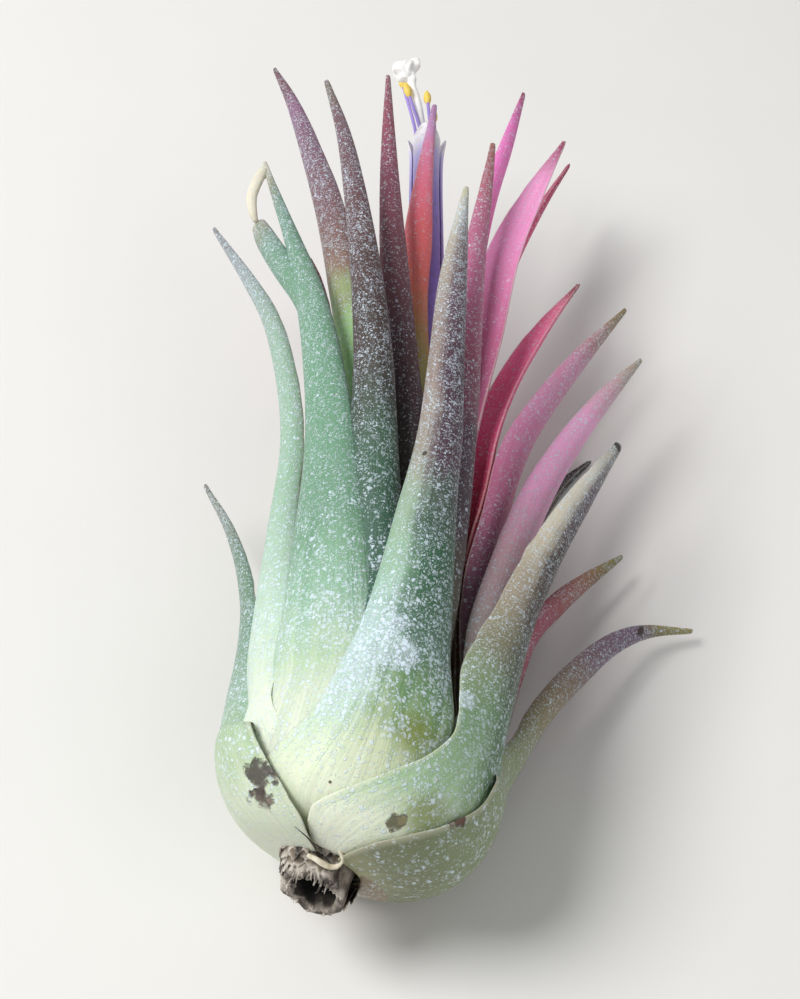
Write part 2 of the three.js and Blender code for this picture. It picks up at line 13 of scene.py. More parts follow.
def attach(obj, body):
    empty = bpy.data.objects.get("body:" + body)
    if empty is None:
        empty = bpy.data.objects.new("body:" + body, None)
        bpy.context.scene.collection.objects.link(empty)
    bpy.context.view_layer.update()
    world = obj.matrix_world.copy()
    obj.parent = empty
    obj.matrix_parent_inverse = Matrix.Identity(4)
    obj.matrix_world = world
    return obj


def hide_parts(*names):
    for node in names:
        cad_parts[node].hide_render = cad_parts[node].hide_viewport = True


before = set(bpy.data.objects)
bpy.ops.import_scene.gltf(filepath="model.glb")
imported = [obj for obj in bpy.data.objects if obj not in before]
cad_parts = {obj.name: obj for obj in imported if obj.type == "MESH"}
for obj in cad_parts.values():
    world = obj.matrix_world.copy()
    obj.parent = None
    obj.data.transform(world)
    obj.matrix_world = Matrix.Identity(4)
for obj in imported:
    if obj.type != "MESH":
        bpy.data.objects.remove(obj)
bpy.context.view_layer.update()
bpy.ops.object.select_all(action="DESELECT")

# The stem
# A short woody rod that all the leaves grow from. It is cut off aslant at the bottom, where its pith
# has rotted away and left a hollow, painted near-black inside as shade, with frayed bundles of fibre
# round it.
MM = 0.001
STEM_RADIUS = 2.4
STEM_TOP_RADIUS = 1.1
STEM_LENGTH = 30
STEM_TOP_Y = 20
BULB_CENTRE = 10.8
STEM_LINE = [
    (-3.3, -10.2, 9.0),
    (-0.4, 0, BULB_CENTRE),
    (1.0, 20, BULB_CENTRE + 2),
    (1.4, 42, BULB_CENTRE + 4.5),
]
HOLLOW_RADIUS = 1.75
HOLLOW_DEPTH = 2.6
HOLLOW_STEPS = [(0.1, 0.97), (0.3, 0.97), (0.3, 0.85), (0.3, 0.6)]
SLANT = 0.32
SET_BACK = 0.35
RAGGED_LENGTH = 3.5
FIBRES = 150
FIBRES_PER_HANGING_ONE = 15
HANGING_REACH = 3
HANGING_PALE = 0.6


def curve_points(corners, places, ease=0.5):
    """Points on a smooth curve through corners, at places counted in corners from the first."""
    corners = np.array(corners, float)
    line = np.vstack([2 * corners[0] - corners[1], corners, 2 * corners[-1] - corners[-2]])
    start = np.clip(places.astype(int), 0, len(corners) - 2)
    part = (places - start)[:, None]
    a, b, c, d = (line[start + k] for k in range(4))
    gaps = [np.linalg.norm(q - p, axis=1, keepdims=True) for p, q in ((a, b), (b, c), (c, d))]
    gaps = [np.maximum(gap, 1e-9) ** ease for gap in gaps]
    leave = ((b - a) / gaps[0] - (c - a) / (gaps[0] + gaps[1]) + (c - b) / gaps[1]) * gaps[1]
    arrive = ((c - b) / gaps[1] - (d - b) / (gaps[1] + gaps[2]) + (d - c) / gaps[2]) * gaps[1]
    bow = 3 * (c - b) - 2 * leave - arrive
    return b + leave * part + bow * part**2 + (2 * (b - c) + leave + arrive) * part**3


class Line:
    """A smooth curve in space, read by the distance along it."""

    def __init__(self, corners):
        self.points = curve_points(corners, np.linspace(0, len(corners) - 1, 1500))
        steps = np.linalg.norm(np.diff(self.points, axis=0), axis=1)
        self.reach = np.concatenate([[0], np.cumsum(steps)])
        self.length = self.reach[-1]
        ways = np.gradient(self.points, axis=0)
        self.ways = ways / np.linalg.norm(ways, axis=1, keepdims=True)

    def at(self, distance):
        """The point, the way along the curve, and the ways right and up across it."""
        point, along = (
            np.stack([np.interp(distance, self.reach, column) for column in values.T], axis=-1)
            for values in (self.points, self.ways)
        )
        right = np.cross(along, [0, 0, 1])
        right /= np.linalg.norm(right, axis=-1, keepdims=True)
        return point, along, right, np.cross(right, along)

    def beside(self, distance, degrees):
        """The point, the way along the curve, and the way across it that many degrees from up."""
        point, along, right, up = self.at(distance)
        turn = math.radians(degrees)
        return point, along, up * math.cos(turn) + right * math.sin(turn)


def vertex_places(piece):
    places = np.empty(len(piece.data.vertices) * 3)
    piece.data.vertices.foreach_get("co", places)
    return places.reshape(-1, 3)


def place_vertices(piece, places):
    """Moves a piece's vertices to places given in millimetres."""
    piece.data.vertices.foreach_set("co", (places * MM).ravel())
    piece.data.update()


def mark(piece, name, values):
    """Stores a number for each vertex, for the piece's material to read."""
    marks = piece.data.attributes.new(name, "FLOAT", "POINT").data
    marks.foreach_set("value", np.broadcast_to(np.float32(values), len(marks)).copy())


def add_rod(name, line, radius, sides, rings, end=None):
    """A round rod along a line, made from a cylinder. radius is a number or a function of distance."""
    bpy.ops.mesh.primitive_cylinder_add(vertices=sides, radius=1, depth=1, end_fill_type="NGON")
    rod = bpy.context.object
    rod.name = rod.data.name = name
    bpy.ops.object.mode_set(mode="EDIT")
    for edge in bmesh.from_edit_mesh(rod.data).edges:
        low, high = (v.co.z for v in edge.verts)
        edge.select_set(abs(high - low) > 0.5)
    bpy.ops.mesh.subdivide_edgering(number_cuts=rings - 1)
    bpy.ops.object.mode_set(mode="OBJECT")
    places = vertex_places(rod)
    distance = (places[:, 2] + 0.5) * (end or line.length)
    point, _, right, up = line.at(distance)
    size = radius(distance)[:, None] if callable(radius) else radius
    place_vertices(rod, point + size * (right * places[:, :1] + up * places[:, 1:2]))
    bpy.ops.object.select_all(action="DESELECT")
    return rod


def join_pieces(name, pieces):
    """Joins pieces into one smooth object with its origin at the frame's."""
    bpy.ops.object.select_all(action="DESELECT")
    for piece in pieces:
        piece.select_set(True)
    bpy.context.view_layer.objects.active = pieces[0]
    if len(pieces) > 1:
        bpy.ops.object.join()
    pieces[0].name = pieces[0].data.name = name
    bpy.ops.object.shade_smooth()
    bpy.ops.object.select_all(action="DESELECT")
    return pieces[0]


def add_node(tree, kind, inputs=None, **settings):
    """A shader node with its settings, and its inputs set to values or linked to sockets."""
    made = tree.nodes.new("ShaderNode" + kind)
    for key, value in settings.items():
        setattr(made, key, value)
    for key, value in (inputs or {}).items():
        if isinstance(value, bpy.types.NodeSocket):
            tree.links.new(value, made.inputs[key])
        else:
            made.inputs[key].default_value = value
    return made


def calc(tree, operation, *values, clamp=False):
    inputs = dict(enumerate(values))
    return add_node(tree, "Math", inputs, operation=operation, use_clamp=clamp).outputs[0]


def product(tree, first, *others):
    for value in others:
        first = calc(tree, "MULTIPLY", first, value)
    return first


def remap(tree, value, low, high, to_low=0.0, to_high=1.0):
    """value taken smoothly from the range low to high onto the range to_low to to_high."""
    inputs = {"Value": value, "From Min": low, "From Max": high, "To Min": to_low, "To Max": to_high}
    return add_node(tree, "MapRange", inputs, interpolation_type="SMOOTHSTEP").outputs[0]


def noise_at(tree, place, scale, detail):
    """A noise from 0 to 1."""
    inputs = {"Vector": place, "Scale": scale, "Detail": detail}
    return add_node(tree, "TexNoise", inputs).outputs[0]


def read_mark(tree, name):
    return add_node(tree, "Attribute", attribute_name=name).outputs["Fac"]


def colour(code):
    """A colour written as six hex digits, as Blender's linear numbers."""
    parts = [int(code[i : i + 2], 16) / 255 for i in (0, 2, 4)]
    return [p / 12.92 if p <= 0.04045 else ((p + 0.055) / 1.055) ** 2.4 for p in parts] + [1.0]


def mix(tree, share, first, second, blend="MIX"):
    """A colour that goes from first to second as share goes from 0 to 1."""
    inputs = {"Factor": share, 6: first, 7: second}
    return add_node(tree, "Mix", inputs, data_type="RGBA", blend_type=blend).outputs[2]


def new_material(name):
    """A material with an empty node tree, and the place on the piece for its textures to read."""
    material = bpy.data.materials.new(name)
    material.use_nodes = True
    tree = material.node_tree
    tree.nodes.clear()
    return material, tree, add_node(tree, "TexCoord").outputs["Object"]


def finish_material(tree, base, roughness, height, bump=0.3, **constants):
    """The last nodes of a material: its surface, with a bump from height in millimetres."""
    normal = add_node(tree, "Bump", {"Height": height, "Strength": bump, "Distance": MM}).outputs[0]
    inputs = {"Base Color": base, "Roughness": roughness, "Normal": normal}
    inputs.update({key.replace("_", " "): value for key, value in constants.items()})
    surface = add_node(tree, "BsdfPrincipled", inputs).outputs[0]
    add_node(tree, "OutputMaterial", {"Surface": surface})


def fibre_material(name, dark, light, roughness=0.95):
    """Dry plant fibre: streaks that run with the plant, specks of dust, pale frays and, where marked,
    near-black painted shade.
    """
    material, tree, place = new_material(name)
    stretched = add_node(tree, "Mapping", {"Vector": place, "Scale": (1, 0.22, 1)}).outputs[0]
    streaks = noise_at(tree, stretched, 1700, 5)
    clots = noise_at(tree, place, 765, 4)
    share = remap(tree, calc(tree, "ADD", streaks, clots), 0.75, 1.25)
    base = mix(tree, share, colour(dark), colour(light))
    pale = product(tree, read_mark(tree, "frayed"), remap(tree, clots, 0.4, 0.6, 0.2, 1.0))
    base = mix(tree, pale, base, colour("d8cfc4"))
    # painted shade: near black where the piece is marked as the inside of the hollow
    base = mix(tree, read_mark(tree, "hollow_painted_shade"), base, colour("040302"))
    finish_material(tree, base, roughness, share, bump=0.15)
    return material


def dress(piece, material, slot, *nodes):
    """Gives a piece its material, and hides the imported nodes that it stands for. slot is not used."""
    piece.data.materials.clear()
    piece.data.materials.append(material)
    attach(piece, "root")
    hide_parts(*nodes)


def noise_push(place):
    """A smooth noise in each of the three directions, the same in every run."""
    shifts = ((0, 0, 0), (31.7, 11.3, -4.9), (-17.1, 5.3, 23.9))
    return np.array([noise.noise(Vector(place) + Vector(shift)) for shift in shifts])


def stem_radius(distance):
    return STEM_RADIUS + (STEM_TOP_RADIUS - STEM_RADIUS) * np.clip(distance / STEM_LENGTH, 0, 1)


stem_line = Line(STEM_LINE)
stem_top = stem_line.reach[np.argmin(np.abs(stem_line.points[:, 1] - STEM_TOP_Y))]
stem = add_rod("stem_wood", stem_line, stem_radius, sides=28, rings=36, end=stem_top)

# the pith is gone: the cut face goes in as a rough hollow
cut_point, inward, cut_right, cut_up = stem_line.at(0.0)
bpy.context.view_layer.objects.active = stem
bpy.ops.object.mode_set(mode="EDIT")
bpy.ops.mesh.select_all(action="DESELECT")
cut_centre = Vector(STEM_LINE[0]) * MM
for face in bmesh.from_edit_mesh(stem.data).faces:
    if len(face.verts) > 4 and (face.calc_center_median() - cut_centre).length < MM:
        face.select_set(True)
for _ in range(2):
    bpy.ops.mesh.inset(thickness=(STEM_RADIUS - HOLLOW_RADIUS) * 0.5 * MM)
for depth, narrower in HOLLOW_STEPS:
    step = inward * HOLLOW_DEPTH * depth * MM
    bpy.ops.mesh.extrude_region_move(TRANSFORM_OT_translate={"value": step})
    cut_centre += Vector(step)
    bpy.ops.transform.resize(value=(narrower,) * 3, center_override=cut_centre)
bpy.ops.object.mode_set(mode="OBJECT")
places = vertex_places(stem) / MM - cut_point
height = places @ inward
off_axis = np.linalg.norm(places - height[:, None] * inward, axis=1)
# the inside of the hollow is marked, to be painted near black as shade, and it gets no pale frays
hollow_shade = np.clip((HOLLOW_RADIUS + 0.05 - off_axis) / 0.15, 0, 1)
hollow_shade *= (height > 0.1) & (height < HOLLOW_DEPTH + 0.1)
mark(stem, "hollow_painted_shade", hollow_shade)
mark(stem, "frayed", np.clip(1 - height / 0.3, 0, 1) * (1 - hollow_shade) * 0.6)

# frayed bundles of fibre stand round the rim and hang across the hollow
chance = random.Random(7)
strands = [stem]
for i in range(FIBRES):
    turn = chance.uniform(0, 2 * math.pi)
    across = cut_right * math.cos(turn) + cut_up * math.sin(turn)
    hanging = i % FIBRES_PER_HANGING_ONE == 0
    rim = chance.uniform(0.15, 0.6) if hanging else chance.uniform(0.74, 1.0)
    depth = chance.uniform(1.2, 1.9) if hanging else chance.uniform(0.05, 0.4)
    foot = cut_point + inward * depth + across * STEM_RADIUS * rim
    lean = across * chance.uniform(-0.3, 0.15)
    lean = lean - inward * chance.uniform(0.15, 0.45) * (HANGING_REACH if hanging else 1)
    sway = np.array([chance.uniform(-0.3, 0.3) for _ in range(3)])
    short = 1 if hanging else 0.65 + 0.35 * math.cos(turn - math.pi / 2)
    lean, sway = lean * short, sway * short
    fibre = Line([foot, foot + lean * 0.5 + sway * 0.5, foot + lean + sway])
    thick = chance.uniform(0.06, 0.15)

    def taper(distance):
        return thick * (1 - 0.6 * distance / fibre.length)

    strands.append(add_rod("strand", fibre, taper, sides=6, rings=4))
    mark(strands[-1], "frayed", HANGING_PALE if hanging else 1.0)
stem = join_pieces("stem_wood", strands)
places = vertex_places(stem) / MM
near_cut = np.clip(1 - (places - cut_point) @ inward / RAGGED_LENGTH, 0, 1)
for i in np.nonzero(near_cut > 0)[0]:
    place = Vector(places[i])
    ragged = noise.noise(place * 1.6) * 0.4 + noise.noise(place * 4.1) * 0.3
    slant = SLANT * ((places[i] - cut_point) @ cut_up) + SET_BACK
    places[i] += near_cut[i] * (inward * (ragged + slant) + noise_push(place * 1.3) * 0.25)
place_vertices(stem, places)
dress(stem, fibre_material("stump_fibre", "2a1f18", "a89c8e"), "stump", "stem")

# The pistil
# The ovary sits on the stem's top. Its style runs up inside the petals and out of their mouth, white
# and waxy, and ends in a stigma of blunt lobes that are folded together.
GAP = 0.3
STYLE_RADIUS = 0.42
OVARY_RADIUS = 0.9
OVARY_LENGTH = 4
STYLE_TIP = [(-0.9, 68.6, 18.2), (-1.4, 69.9, 18.6), (-1.65, 71.8, 19.0)]
STIGMA_LOBES = [
    ((-3.1, 71.9, 19.1), 0.75),
    ((-1.3, 73.2, 19.1), 0.46),
    ((-2.6, 71.2, 18.7), 0.62),
    ((-2.3, 72.5, 19.1), 0.7),
]
STIGMA_Y = 70.5
stem_end, stem_way = stem_line.at(stem_top)[:2]
FLOWER_LINE = [(1.5, 32, 13.4), (1.6, 42, 14.0), (0.9, 53, 15.3), (0.3, 65, 17)]
flower_line = Line([stem_end + stem_way * GAP, *FLOWER_LINE])


def stops(text):
    """Stops written as "place value, place value" with places from 0 to 1, as pairs."""
    return [(float(place), value) for place, value in map(str.split, text.split(","))]


def tone_ramp(tree, factor, tones):
    """A colour ramp through stops, each a place from 0 to 1 and a colour."""
    ramp = add_node(tree, "ValToRGB", {"Fac": factor})
    elements = ramp.color_ramp.elements
    elements.remove(elements[1])
    elements[0].position = tones[0][0]
    elements[0].color = colour(tones[0][1])
    for place, code in tones[1:]:
        elements.new(place).color = colour(code)
    return ramp.outputs[0]


def soft_material(name, tones, roughness, mottle=0.12, grain=900, **constants):
    """A thin living skin whose colour goes through tones along the piece, with a faint mottle."""
    material, tree, place = new_material(name)
    cloud = noise_at(tree, place, grain, 4)
    drift = product(tree, calc(tree, "SUBTRACT", cloud, 0.5), 0.12)
    shifted = calc(tree, "ADD", read_mark(tree, "along"), drift)
    base = tone_ramp(tree, shifted, stops(tones))
    dark = product(tree, remap(tree, cloud, 0.35, 0.7), mottle)
    base = mix(tree, dark, base, colour("4a3a44"))
    finish_material(tree, base, roughness, cloud, bump=0.15, **constants)
    return material


def apply_modifier(piece, kind, **settings):
    made = piece.modifiers.new(kind.lower(), kind)
    for key, value in settings.items():
        setattr(made, key, value)
    bpy.ops.object.modifier_apply(modifier=made.name)


def pistil_radius(distance):
    share = np.clip((distance / OVARY_LENGTH + 0.25) / 1.5, 0, 1)
    return np.maximum(STYLE_RADIUS, OVARY_RADIUS * np.sin(math.pi * share))


inner_points = flower_line.at(flower_line.length * np.array([0, 0.1, 0.3, 0.5, 0.7, 0.9]))[0]
style_line = Line([*inner_points, *STYLE_TIP])
lobes = [add_rod("style", style_line, pistil_radius, sides=14, rings=60)]
for tip, thick in STIGMA_LOBES:
    base, tip = np.array(STYLE_TIP[-1]), np.array(tip)
    reach = tip - base
    lobe = Line([base - reach * 0.3, (base + tip) / 2 + [0, 0, 0.1], base + reach * 1.25])

    def swell(distance):
        share = np.clip(distance / lobe.length, 0, 0.97)
        return 0.15 + thick * np.sin(math.pi * share**1.3) ** 0.7

    lobes.append(add_rod("lobe", lobe, swell, sides=14, rings=12))
pistil = join_pieces("pistil_white", lobes)

# the lobes and the style are one flesh
bpy.context.view_layer.objects.active = pistil
apply_modifier(pistil, "REMESH", mode="VOXEL", voxel_size=0.1 * MM, use_smooth_shade=True)
apply_modifier(pistil, "SMOOTH", iterations=5)
places = vertex_places(pistil) / MM
for i in np.nonzero(places[:, 1] > STIGMA_Y)[0]:
    places[i] += noise_push(places[i] * 1.7) * 0.2
place_vertices(pistil, places)
mark(pistil, "along", np.clip(places[:, 1] / 73, 0, 1))
PISTIL_TONES = "0 a9b58c, 0.35 c9b8d6, 0.75 ece4f4, 0.85 fcfafa, 1 fffefa"
dress(pistil, soft_material("stigma_wax", PISTIL_TONES, 0.55, mottle=0.05), "pistil", "pistil")

# The stamens
# Six violet filaments stand round the style, inside the petals. Each carries a small pointed anther
# that is yellow with pollen.
FILAMENT_RADIUS = 0.16
FILAMENT_CIRCLE = 0.85
FILAMENT_MARK = 0.7
SAC_LENGTH = 1.75
ANTHERS = [
    (0.1, 69.1, 18.0),
    (0.8, 67.6, 17.0),
    (-0.8, 69.1, 16.3),
    (-1.1, 70.7, 16.5),
    (-2.5, 72.6, 17.0),
    (-1.75, 68.8, 19.0),
]
FILAMENT_TONES = "0 c8cfa8, 0.4 9c88d4, 0.965 a996dc, 0.975 e8b93a, 1 f2d568"


def sac_radius(distance):
    return 0.08 + 0.3 * np.sin(math.pi * np.clip(distance / SAC_LENGTH, 0, 0.97)) ** 0.7


stamen_material = soft_material("filament_and_pollen", FILAMENT_TONES, 0.6, mottle=0.05, grain=3000)
for i, anther in enumerate(ANTHERS):
    distances = flower_line.length * np.array([0.12, 0.4, 0.7, 0.97])
    point, _, back = flower_line.beside(distances, i * 60 + 30)
    filament_line = Line([*(point + FILAMENT_CIRCLE * back), anther])
    filament = add_rod("filament", filament_line, FILAMENT_RADIUS, sides=8, rings=30)
    mark(filament, "along", FILAMENT_MARK)
    end = filament_line.ways[-1]
    sac_line = Line([np.array(anther) - end * 0.75, np.array(anther), np.array(anther) + end])
    sac = add_rod("sac", sac_line, sac_radius, sides=10, rings=12)
    mark(sac, "along", 1.0)
    stamen = join_pieces(f"stamen_grown_{i + 1}", [filament, sac])
    dress(stamen, stamen_material, "stamen", f"stamen_{i + 1}")

# The petals and the sepals
# Three violet petals are rolled into a narrow tube whose white lips curl out. Three thin green sepals
# clasp the tube's foot. Each is one thin curved strip.
PETAL_THICK = 0.26
PETAL_WRAP = 56
PETAL_PROFILE = [
    (0.02, 1.35),
    (0.12, 1.4),
    (0.3, 1.5),
    (0.6, 1.5),
    (0.85, 1.45),
    (0.95, 1.48),
    (1, 1.6),
]
PETAL_TONES = "0 a8b088, 0.2 8a72c0, 0.6 8a70c8, 0.8 a090e0, 0.92 cec6fa, 0.97 fdfbff"
SEPAL_THICK = 0.3
SEPAL_WRAP = 50
SEPAL_PROFILE = [(0.02, 1.95), (0.12, 2.05), (0.25, 2.1), (0.36, 2.0)]
SEPAL_TONES = "0 c9cfa6, 0.6 a3b37c, 1 b59a80"


class Strip:
    """A curved strip through stations. A station gives its midrib's point, the ways its back and its
    right edge look, its section, its bends to the left and to the right in degrees, and 1 where it
    stands square to its midrib. A section is how far the left edge lies out and down from the
    midrib, the same for the right edge, and the thickness.
    """

    def __init__(self, stations):
        columns = (np.array(value, float) for value in zip(*stations))
        self.points, self.backs, self.rights, self.sections, self.bends, self.free = columns
        self.last = len(self.points) - 1
        self.marks = np.linspace(0, self.last, 1200)
        steps = np.linalg.norm(np.diff(curve_points(self.points, self.marks), axis=0), axis=1)
        self.reach = np.concatenate([[0], np.cumsum(steps)])
        self.length = self.reach[-1]

    def between(self, values, marks):
        known = np.arange(self.last + 1)
        return np.stack([np.interp(marks, known, column) for column in values.T], axis=-1)

    def place(self, along, across):
        """Places on the strip's middle at shares of its length, and across it from -1 to 1."""
        marks = np.interp(along * self.length, self.reach, self.marks)
        midrib = curve_points(self.points, marks)
        ahead = curve_points(self.points, np.minimum(marks + 0.01, self.last))
        way = ahead - curve_points(self.points, np.maximum(marks - 0.01, 0))
        way /= np.linalg.norm(way, axis=1, keepdims=True)
        free = self.between(self.free[:, None], marks)
        back, right = self.between(self.backs, marks), self.between(self.rights, marks)
        for side in (back, right):
            side -= way * (side * way).sum(1, keepdims=True) * free
            side /= np.linalg.norm(side, axis=1, keepdims=True)
        *edges, thick = np.maximum(curve_points(self.sections, marks, ease=0), 0.03).T
        bends = np.radians(self.between(self.bends, marks))
        left = across < 0
        bend = np.where(left, bends[:, 0], bends[:, 1])
        wide = np.where(left, edges[0], edges[2]) / np.sin(bend)
        deep = np.where(left, edges[1], edges[3]) / (1 - np.cos(bend))
        middle = midrib + right * (wide * np.sin(bend * across))[:, None]
        middle -= back * (deep * (1 - np.cos(bend * across)))[:, None]
        return middle, np.maximum(thick, 0.2), back


def arc_section(radius, bends, thick):
    """The section of a strip that is an arc of a circle."""
    section = []
    for bend in np.radians(bends):
        section += [radius * math.sin(bend), radius * (1 - math.cos(bend))]
    return (*section, thick)


def add_strip(name, strip, columns, rings, edge=0.14, shape=None):
    """Models a strip: a grid laid along it, given its thickness and rounded. shape may move it."""
    bpy.ops.mesh.primitive_grid_add(x_subdivisions=columns, y_subdivisions=rings, size=1)
    piece = bpy.context.object
    piece.name = piece.data.name = name
    flat = vertex_places(piece)
    across, along = flat[:, 0] * 2, np.clip(flat[:, 1] + 0.5, 0, 1)
    places, thick, back = strip.place(along, across)
    if shape:
        places = shape(places, along, across, back)
    place_vertices(piece, places)
    mark(piece, "along", along)
    mark(piece, "across", across)
    group = piece.vertex_groups.new(name="thickness")
    shares = thick / thick.max() * (edge + (1 - edge) * np.cos(across * math.pi / 2))
    for i, share in enumerate(shares):
        group.add([i], float(share), "REPLACE")
    wall = float(thick.max()) * MM
    apply_modifier(piece, "SOLIDIFY", thickness=wall, offset=0, vertex_group=group.name)
    apply_modifier(piece, "SUBSURF", levels=1, render_levels=1)
    bpy.ops.object.shade_smooth()
    bpy.ops.object.select_all(action="DESELECT")
    return piece


def whorl_strip(turn, wrap, profile, thick):
    """A strip that clasps the flower's line on one side, at shares of its length and radii."""
    shares, radii = np.array(profile).T
    point, along, back = flower_line.beside(flower_line.length * shares, turn)
    points = point + back * radii[:, None]
    bends = (wrap, wrap)
    rows = zip(points, back, np.cross(along, back), radii)
    return Strip([(p, b, e, arc_section(r, bends, thick), bends, 0) for p, b, e, r in rows])


def curled_lip(places, along, across, back):
    """Ends a petal in a soft point that turns out a little, by pulling its lip's corners down."""
    lip = np.clip((along - 0.93) / 0.07, 0, 1)
    places = places - flower_line.ways[-1] * (lip * across**2 * 1.9)[:, None]
    return places + back * (lip * 0.25)[:, None]


petal_looks = {"mottle": 0.25, "grain": 1500, "Sheen_Weight": 0.2}
petal_material = soft_material("petal_violet", PETAL_TONES, 0.5, **petal_looks)
sepal_material = soft_material("sepal_green", SEPAL_TONES, 0.55, mottle=0.15)
for i, turn in enumerate((0, 120, 240)):
    strip = whorl_strip(turn, PETAL_WRAP, PETAL_PROFILE, PETAL_THICK)
    petal = add_strip(f"petal_grown_{i + 1}", strip, 10, 34, edge=0.5, shape=curled_lip)
    dress(petal, petal_material, "petal", f"petal_{i + 1}")
    strip = whorl_strip(turn + 60, SEPAL_WRAP, SEPAL_PROFILE, SEPAL_THICK)
    sepal = add_strip(f"sepal_grown_{i + 1}", strip, 8, 14, edge=0.4)
    dress(sepal, sepal_material, "sepal", f"sepal_{i + 1}")

# The coral bract
# One short leaf that has turned coral. It clasps the flower's tube from below and stands up with it,
# thin and almost bare, with fine lines along it. Like every leaf it is one solid: a sheath that
# clasps the stem at its foot and goes over into a channelled blade.
FOOT = 2.2
BELLY = 10.6
BLUNTNESS = 2.3
NECK = 36
NECK_RADIUS = 5.5
BULB_RADIUS = 11.1
FOOT_THICK = 0.45
SHEATH_THICK = 0.75
SHEATH_LENGTH = 9
FOOT_RAMP = 4.5
FLARE = 40
FLARE_LENGTH = 7
BLADE_BEND = 80
BLADE_THICK = 1.1
TIP_THICK = 0.4
CHANNEL = 0.55
LEAST_HEIGHT = 0.42
WAVINESS = 0.12
SILVER = "e0effa"
GREY_POWER = 0.4545
SCALE_LAYERS = ((2500, 0.75, 0.0), (3600, 0.95, 0.25), (5600, 0.7, 0.8), (8500, 0.3, 0.9))

# A leaf leaves the stem at foot, counted up from FOOT, and looks out at turn degrees from up. Its
# sheath is rise long, lies sunk below the bulb's outline and spans wrap degrees to each side, and
# top degrees at its upper end. The blade goes on through rows of x, y, z and width. Its back rolls
# over by roll degrees, channel is how deep it is for its half width, and wavy how far its margins
# wave. lifted moves one rim out: its side, how much of the leaf's length, and how far.
# tones are the colours along the leaf. lit_tones are a lighter copy of them, painted light on the part
# left of lit_to, where the light falls, and a leaf that has them keeps its tones as painted shade on its
# right side. scales is how thickly silver scales cover it along its length, and the lit cover adds a
# painted highlight to that, as more silver on the sheath where the light falls.
# bloom, stains and scars are spots, each with its place and size, and where it has one its colour. A
# bloom spot is thick silver scales and in part a painted reflection of the light on the bulb's belly.
# loose strips have torn off the blade, and along is the stretch of the leaf whose colours they take.
BRACT = {
    "name": "floral_bract", "slot": "bract", "turn": -6, "foot": 16, "sunk": 6.2, "wrap": (44, 44),
    "rise": 6,
    "blade": [
        (1.4, 24, 15.6, 2.8), (1.2, 37, 15.9, 1.8), (0.65, 43.3, 16.8, 1.9), (0.35, 49.6, 17.8, 2.5),
        (0.45, 57, 18.5, 1.6), (0.9, 67, 19, 0.35),
    ],
    "tones": (
        "0 c9c79a, 0.3 a3ad6c, 0.46 bcc070, 0.54 cc9c68, 0.62 e4786a, 0.74 ec6c74, 0.86 e07c98, "
        "0.94 c894c0, 1 b886b0"
    ),
    "scales": "0 0, 0.5 0.05, 0.8 0.08, 1 0.15",
}


def bulb_radius(height):
    if height < BELLY:
        short = 1 - min(1, max(0, (height - FOOT) / (BELLY - FOOT)))
        return STEM_RADIUS + (BULB_RADIUS - STEM_RADIUS) * (1 - short**BLUNTNESS) ** (1 / BLUNTNESS)
    share = min(1, (height - BELLY) / (NECK - BELLY))
    return NECK_RADIUS + (BULB_RADIUS - NECK_RADIUS) * (1 + math.cos(math.pi * share)) / 2


def blade_stations(blade, back, along, roll=0, channel=CHANNEL):
    """Stations of a free channelled blade from its rows. Its back rolls over by roll degrees."""
    stations = []
    for i, (x, y, z, width) in enumerate(blade):
        share = i / (len(blade) - 1)
        thick = BLADE_THICK + (TIP_THICK - BLADE_THICK) * share**1.5
        turn = math.radians(roll * min(1, (i + 1) / 3))
        right = np.cross(along, back)
        rolled = back * math.cos(turn) + right * math.sin(turn)
        half, depth = width / 2, width / 2 * channel
        section = (half, depth, half, depth, thick)
        bends = (BLADE_BEND, BLADE_BEND)
        stations.append(((x, y, z), rolled, np.cross(along, rolled), section, bends, 1))
    return stations


def leaf_stations(leaf):
    """Stations from the leaf's foot on the stem, up its sheath and out along its blade."""
    stations = []
    for step in (0, 0.1, 0.25, 0.5, 0.75, 1):
        climbed = step * leaf.get("rise", SHEATH_LENGTH)
        height = FOOT + leaf["foot"] + climbed
        point, along, back = stem_line.beside(height, leaf["turn"])
        short = 1 - min(1, climbed / min(FOOT_RAMP, 0.6 + leaf["foot"]))
        start = stem_radius(height) + GAP + FOOT_THICK / 2
        full = max(start, bulb_radius(height) - leaf["sunk"])
        radius = start + (full - start) * math.sqrt(1 - short**2)
        flare = FLARE * (1 - min(1, climbed / FLARE_LENGTH)) ** 1.5
        thick = FOOT_THICK + (SHEATH_THICK - FOOT_THICK) * min(1, step * 3)
        narrow = math.degrees(math.asin(min(0.9, 0.6 * leaf["blade"][0][3] / radius)))
        tops = leaf.get("top", (narrow, narrow))
        bends = [wrap + flare + (top - wrap) * step**1.5 for wrap, top in zip(leaf["wrap"], tops)]
        section = arc_section(radius, bends, thick)
        stations.append((point + back * radius, back, np.cross(along, back), section, bends, 0))
    roll, channel = leaf.get("roll", 0), leaf.get("channel", CHANNEL)
    return stations + blade_stations(leaf["blade"], back, along, roll, channel)


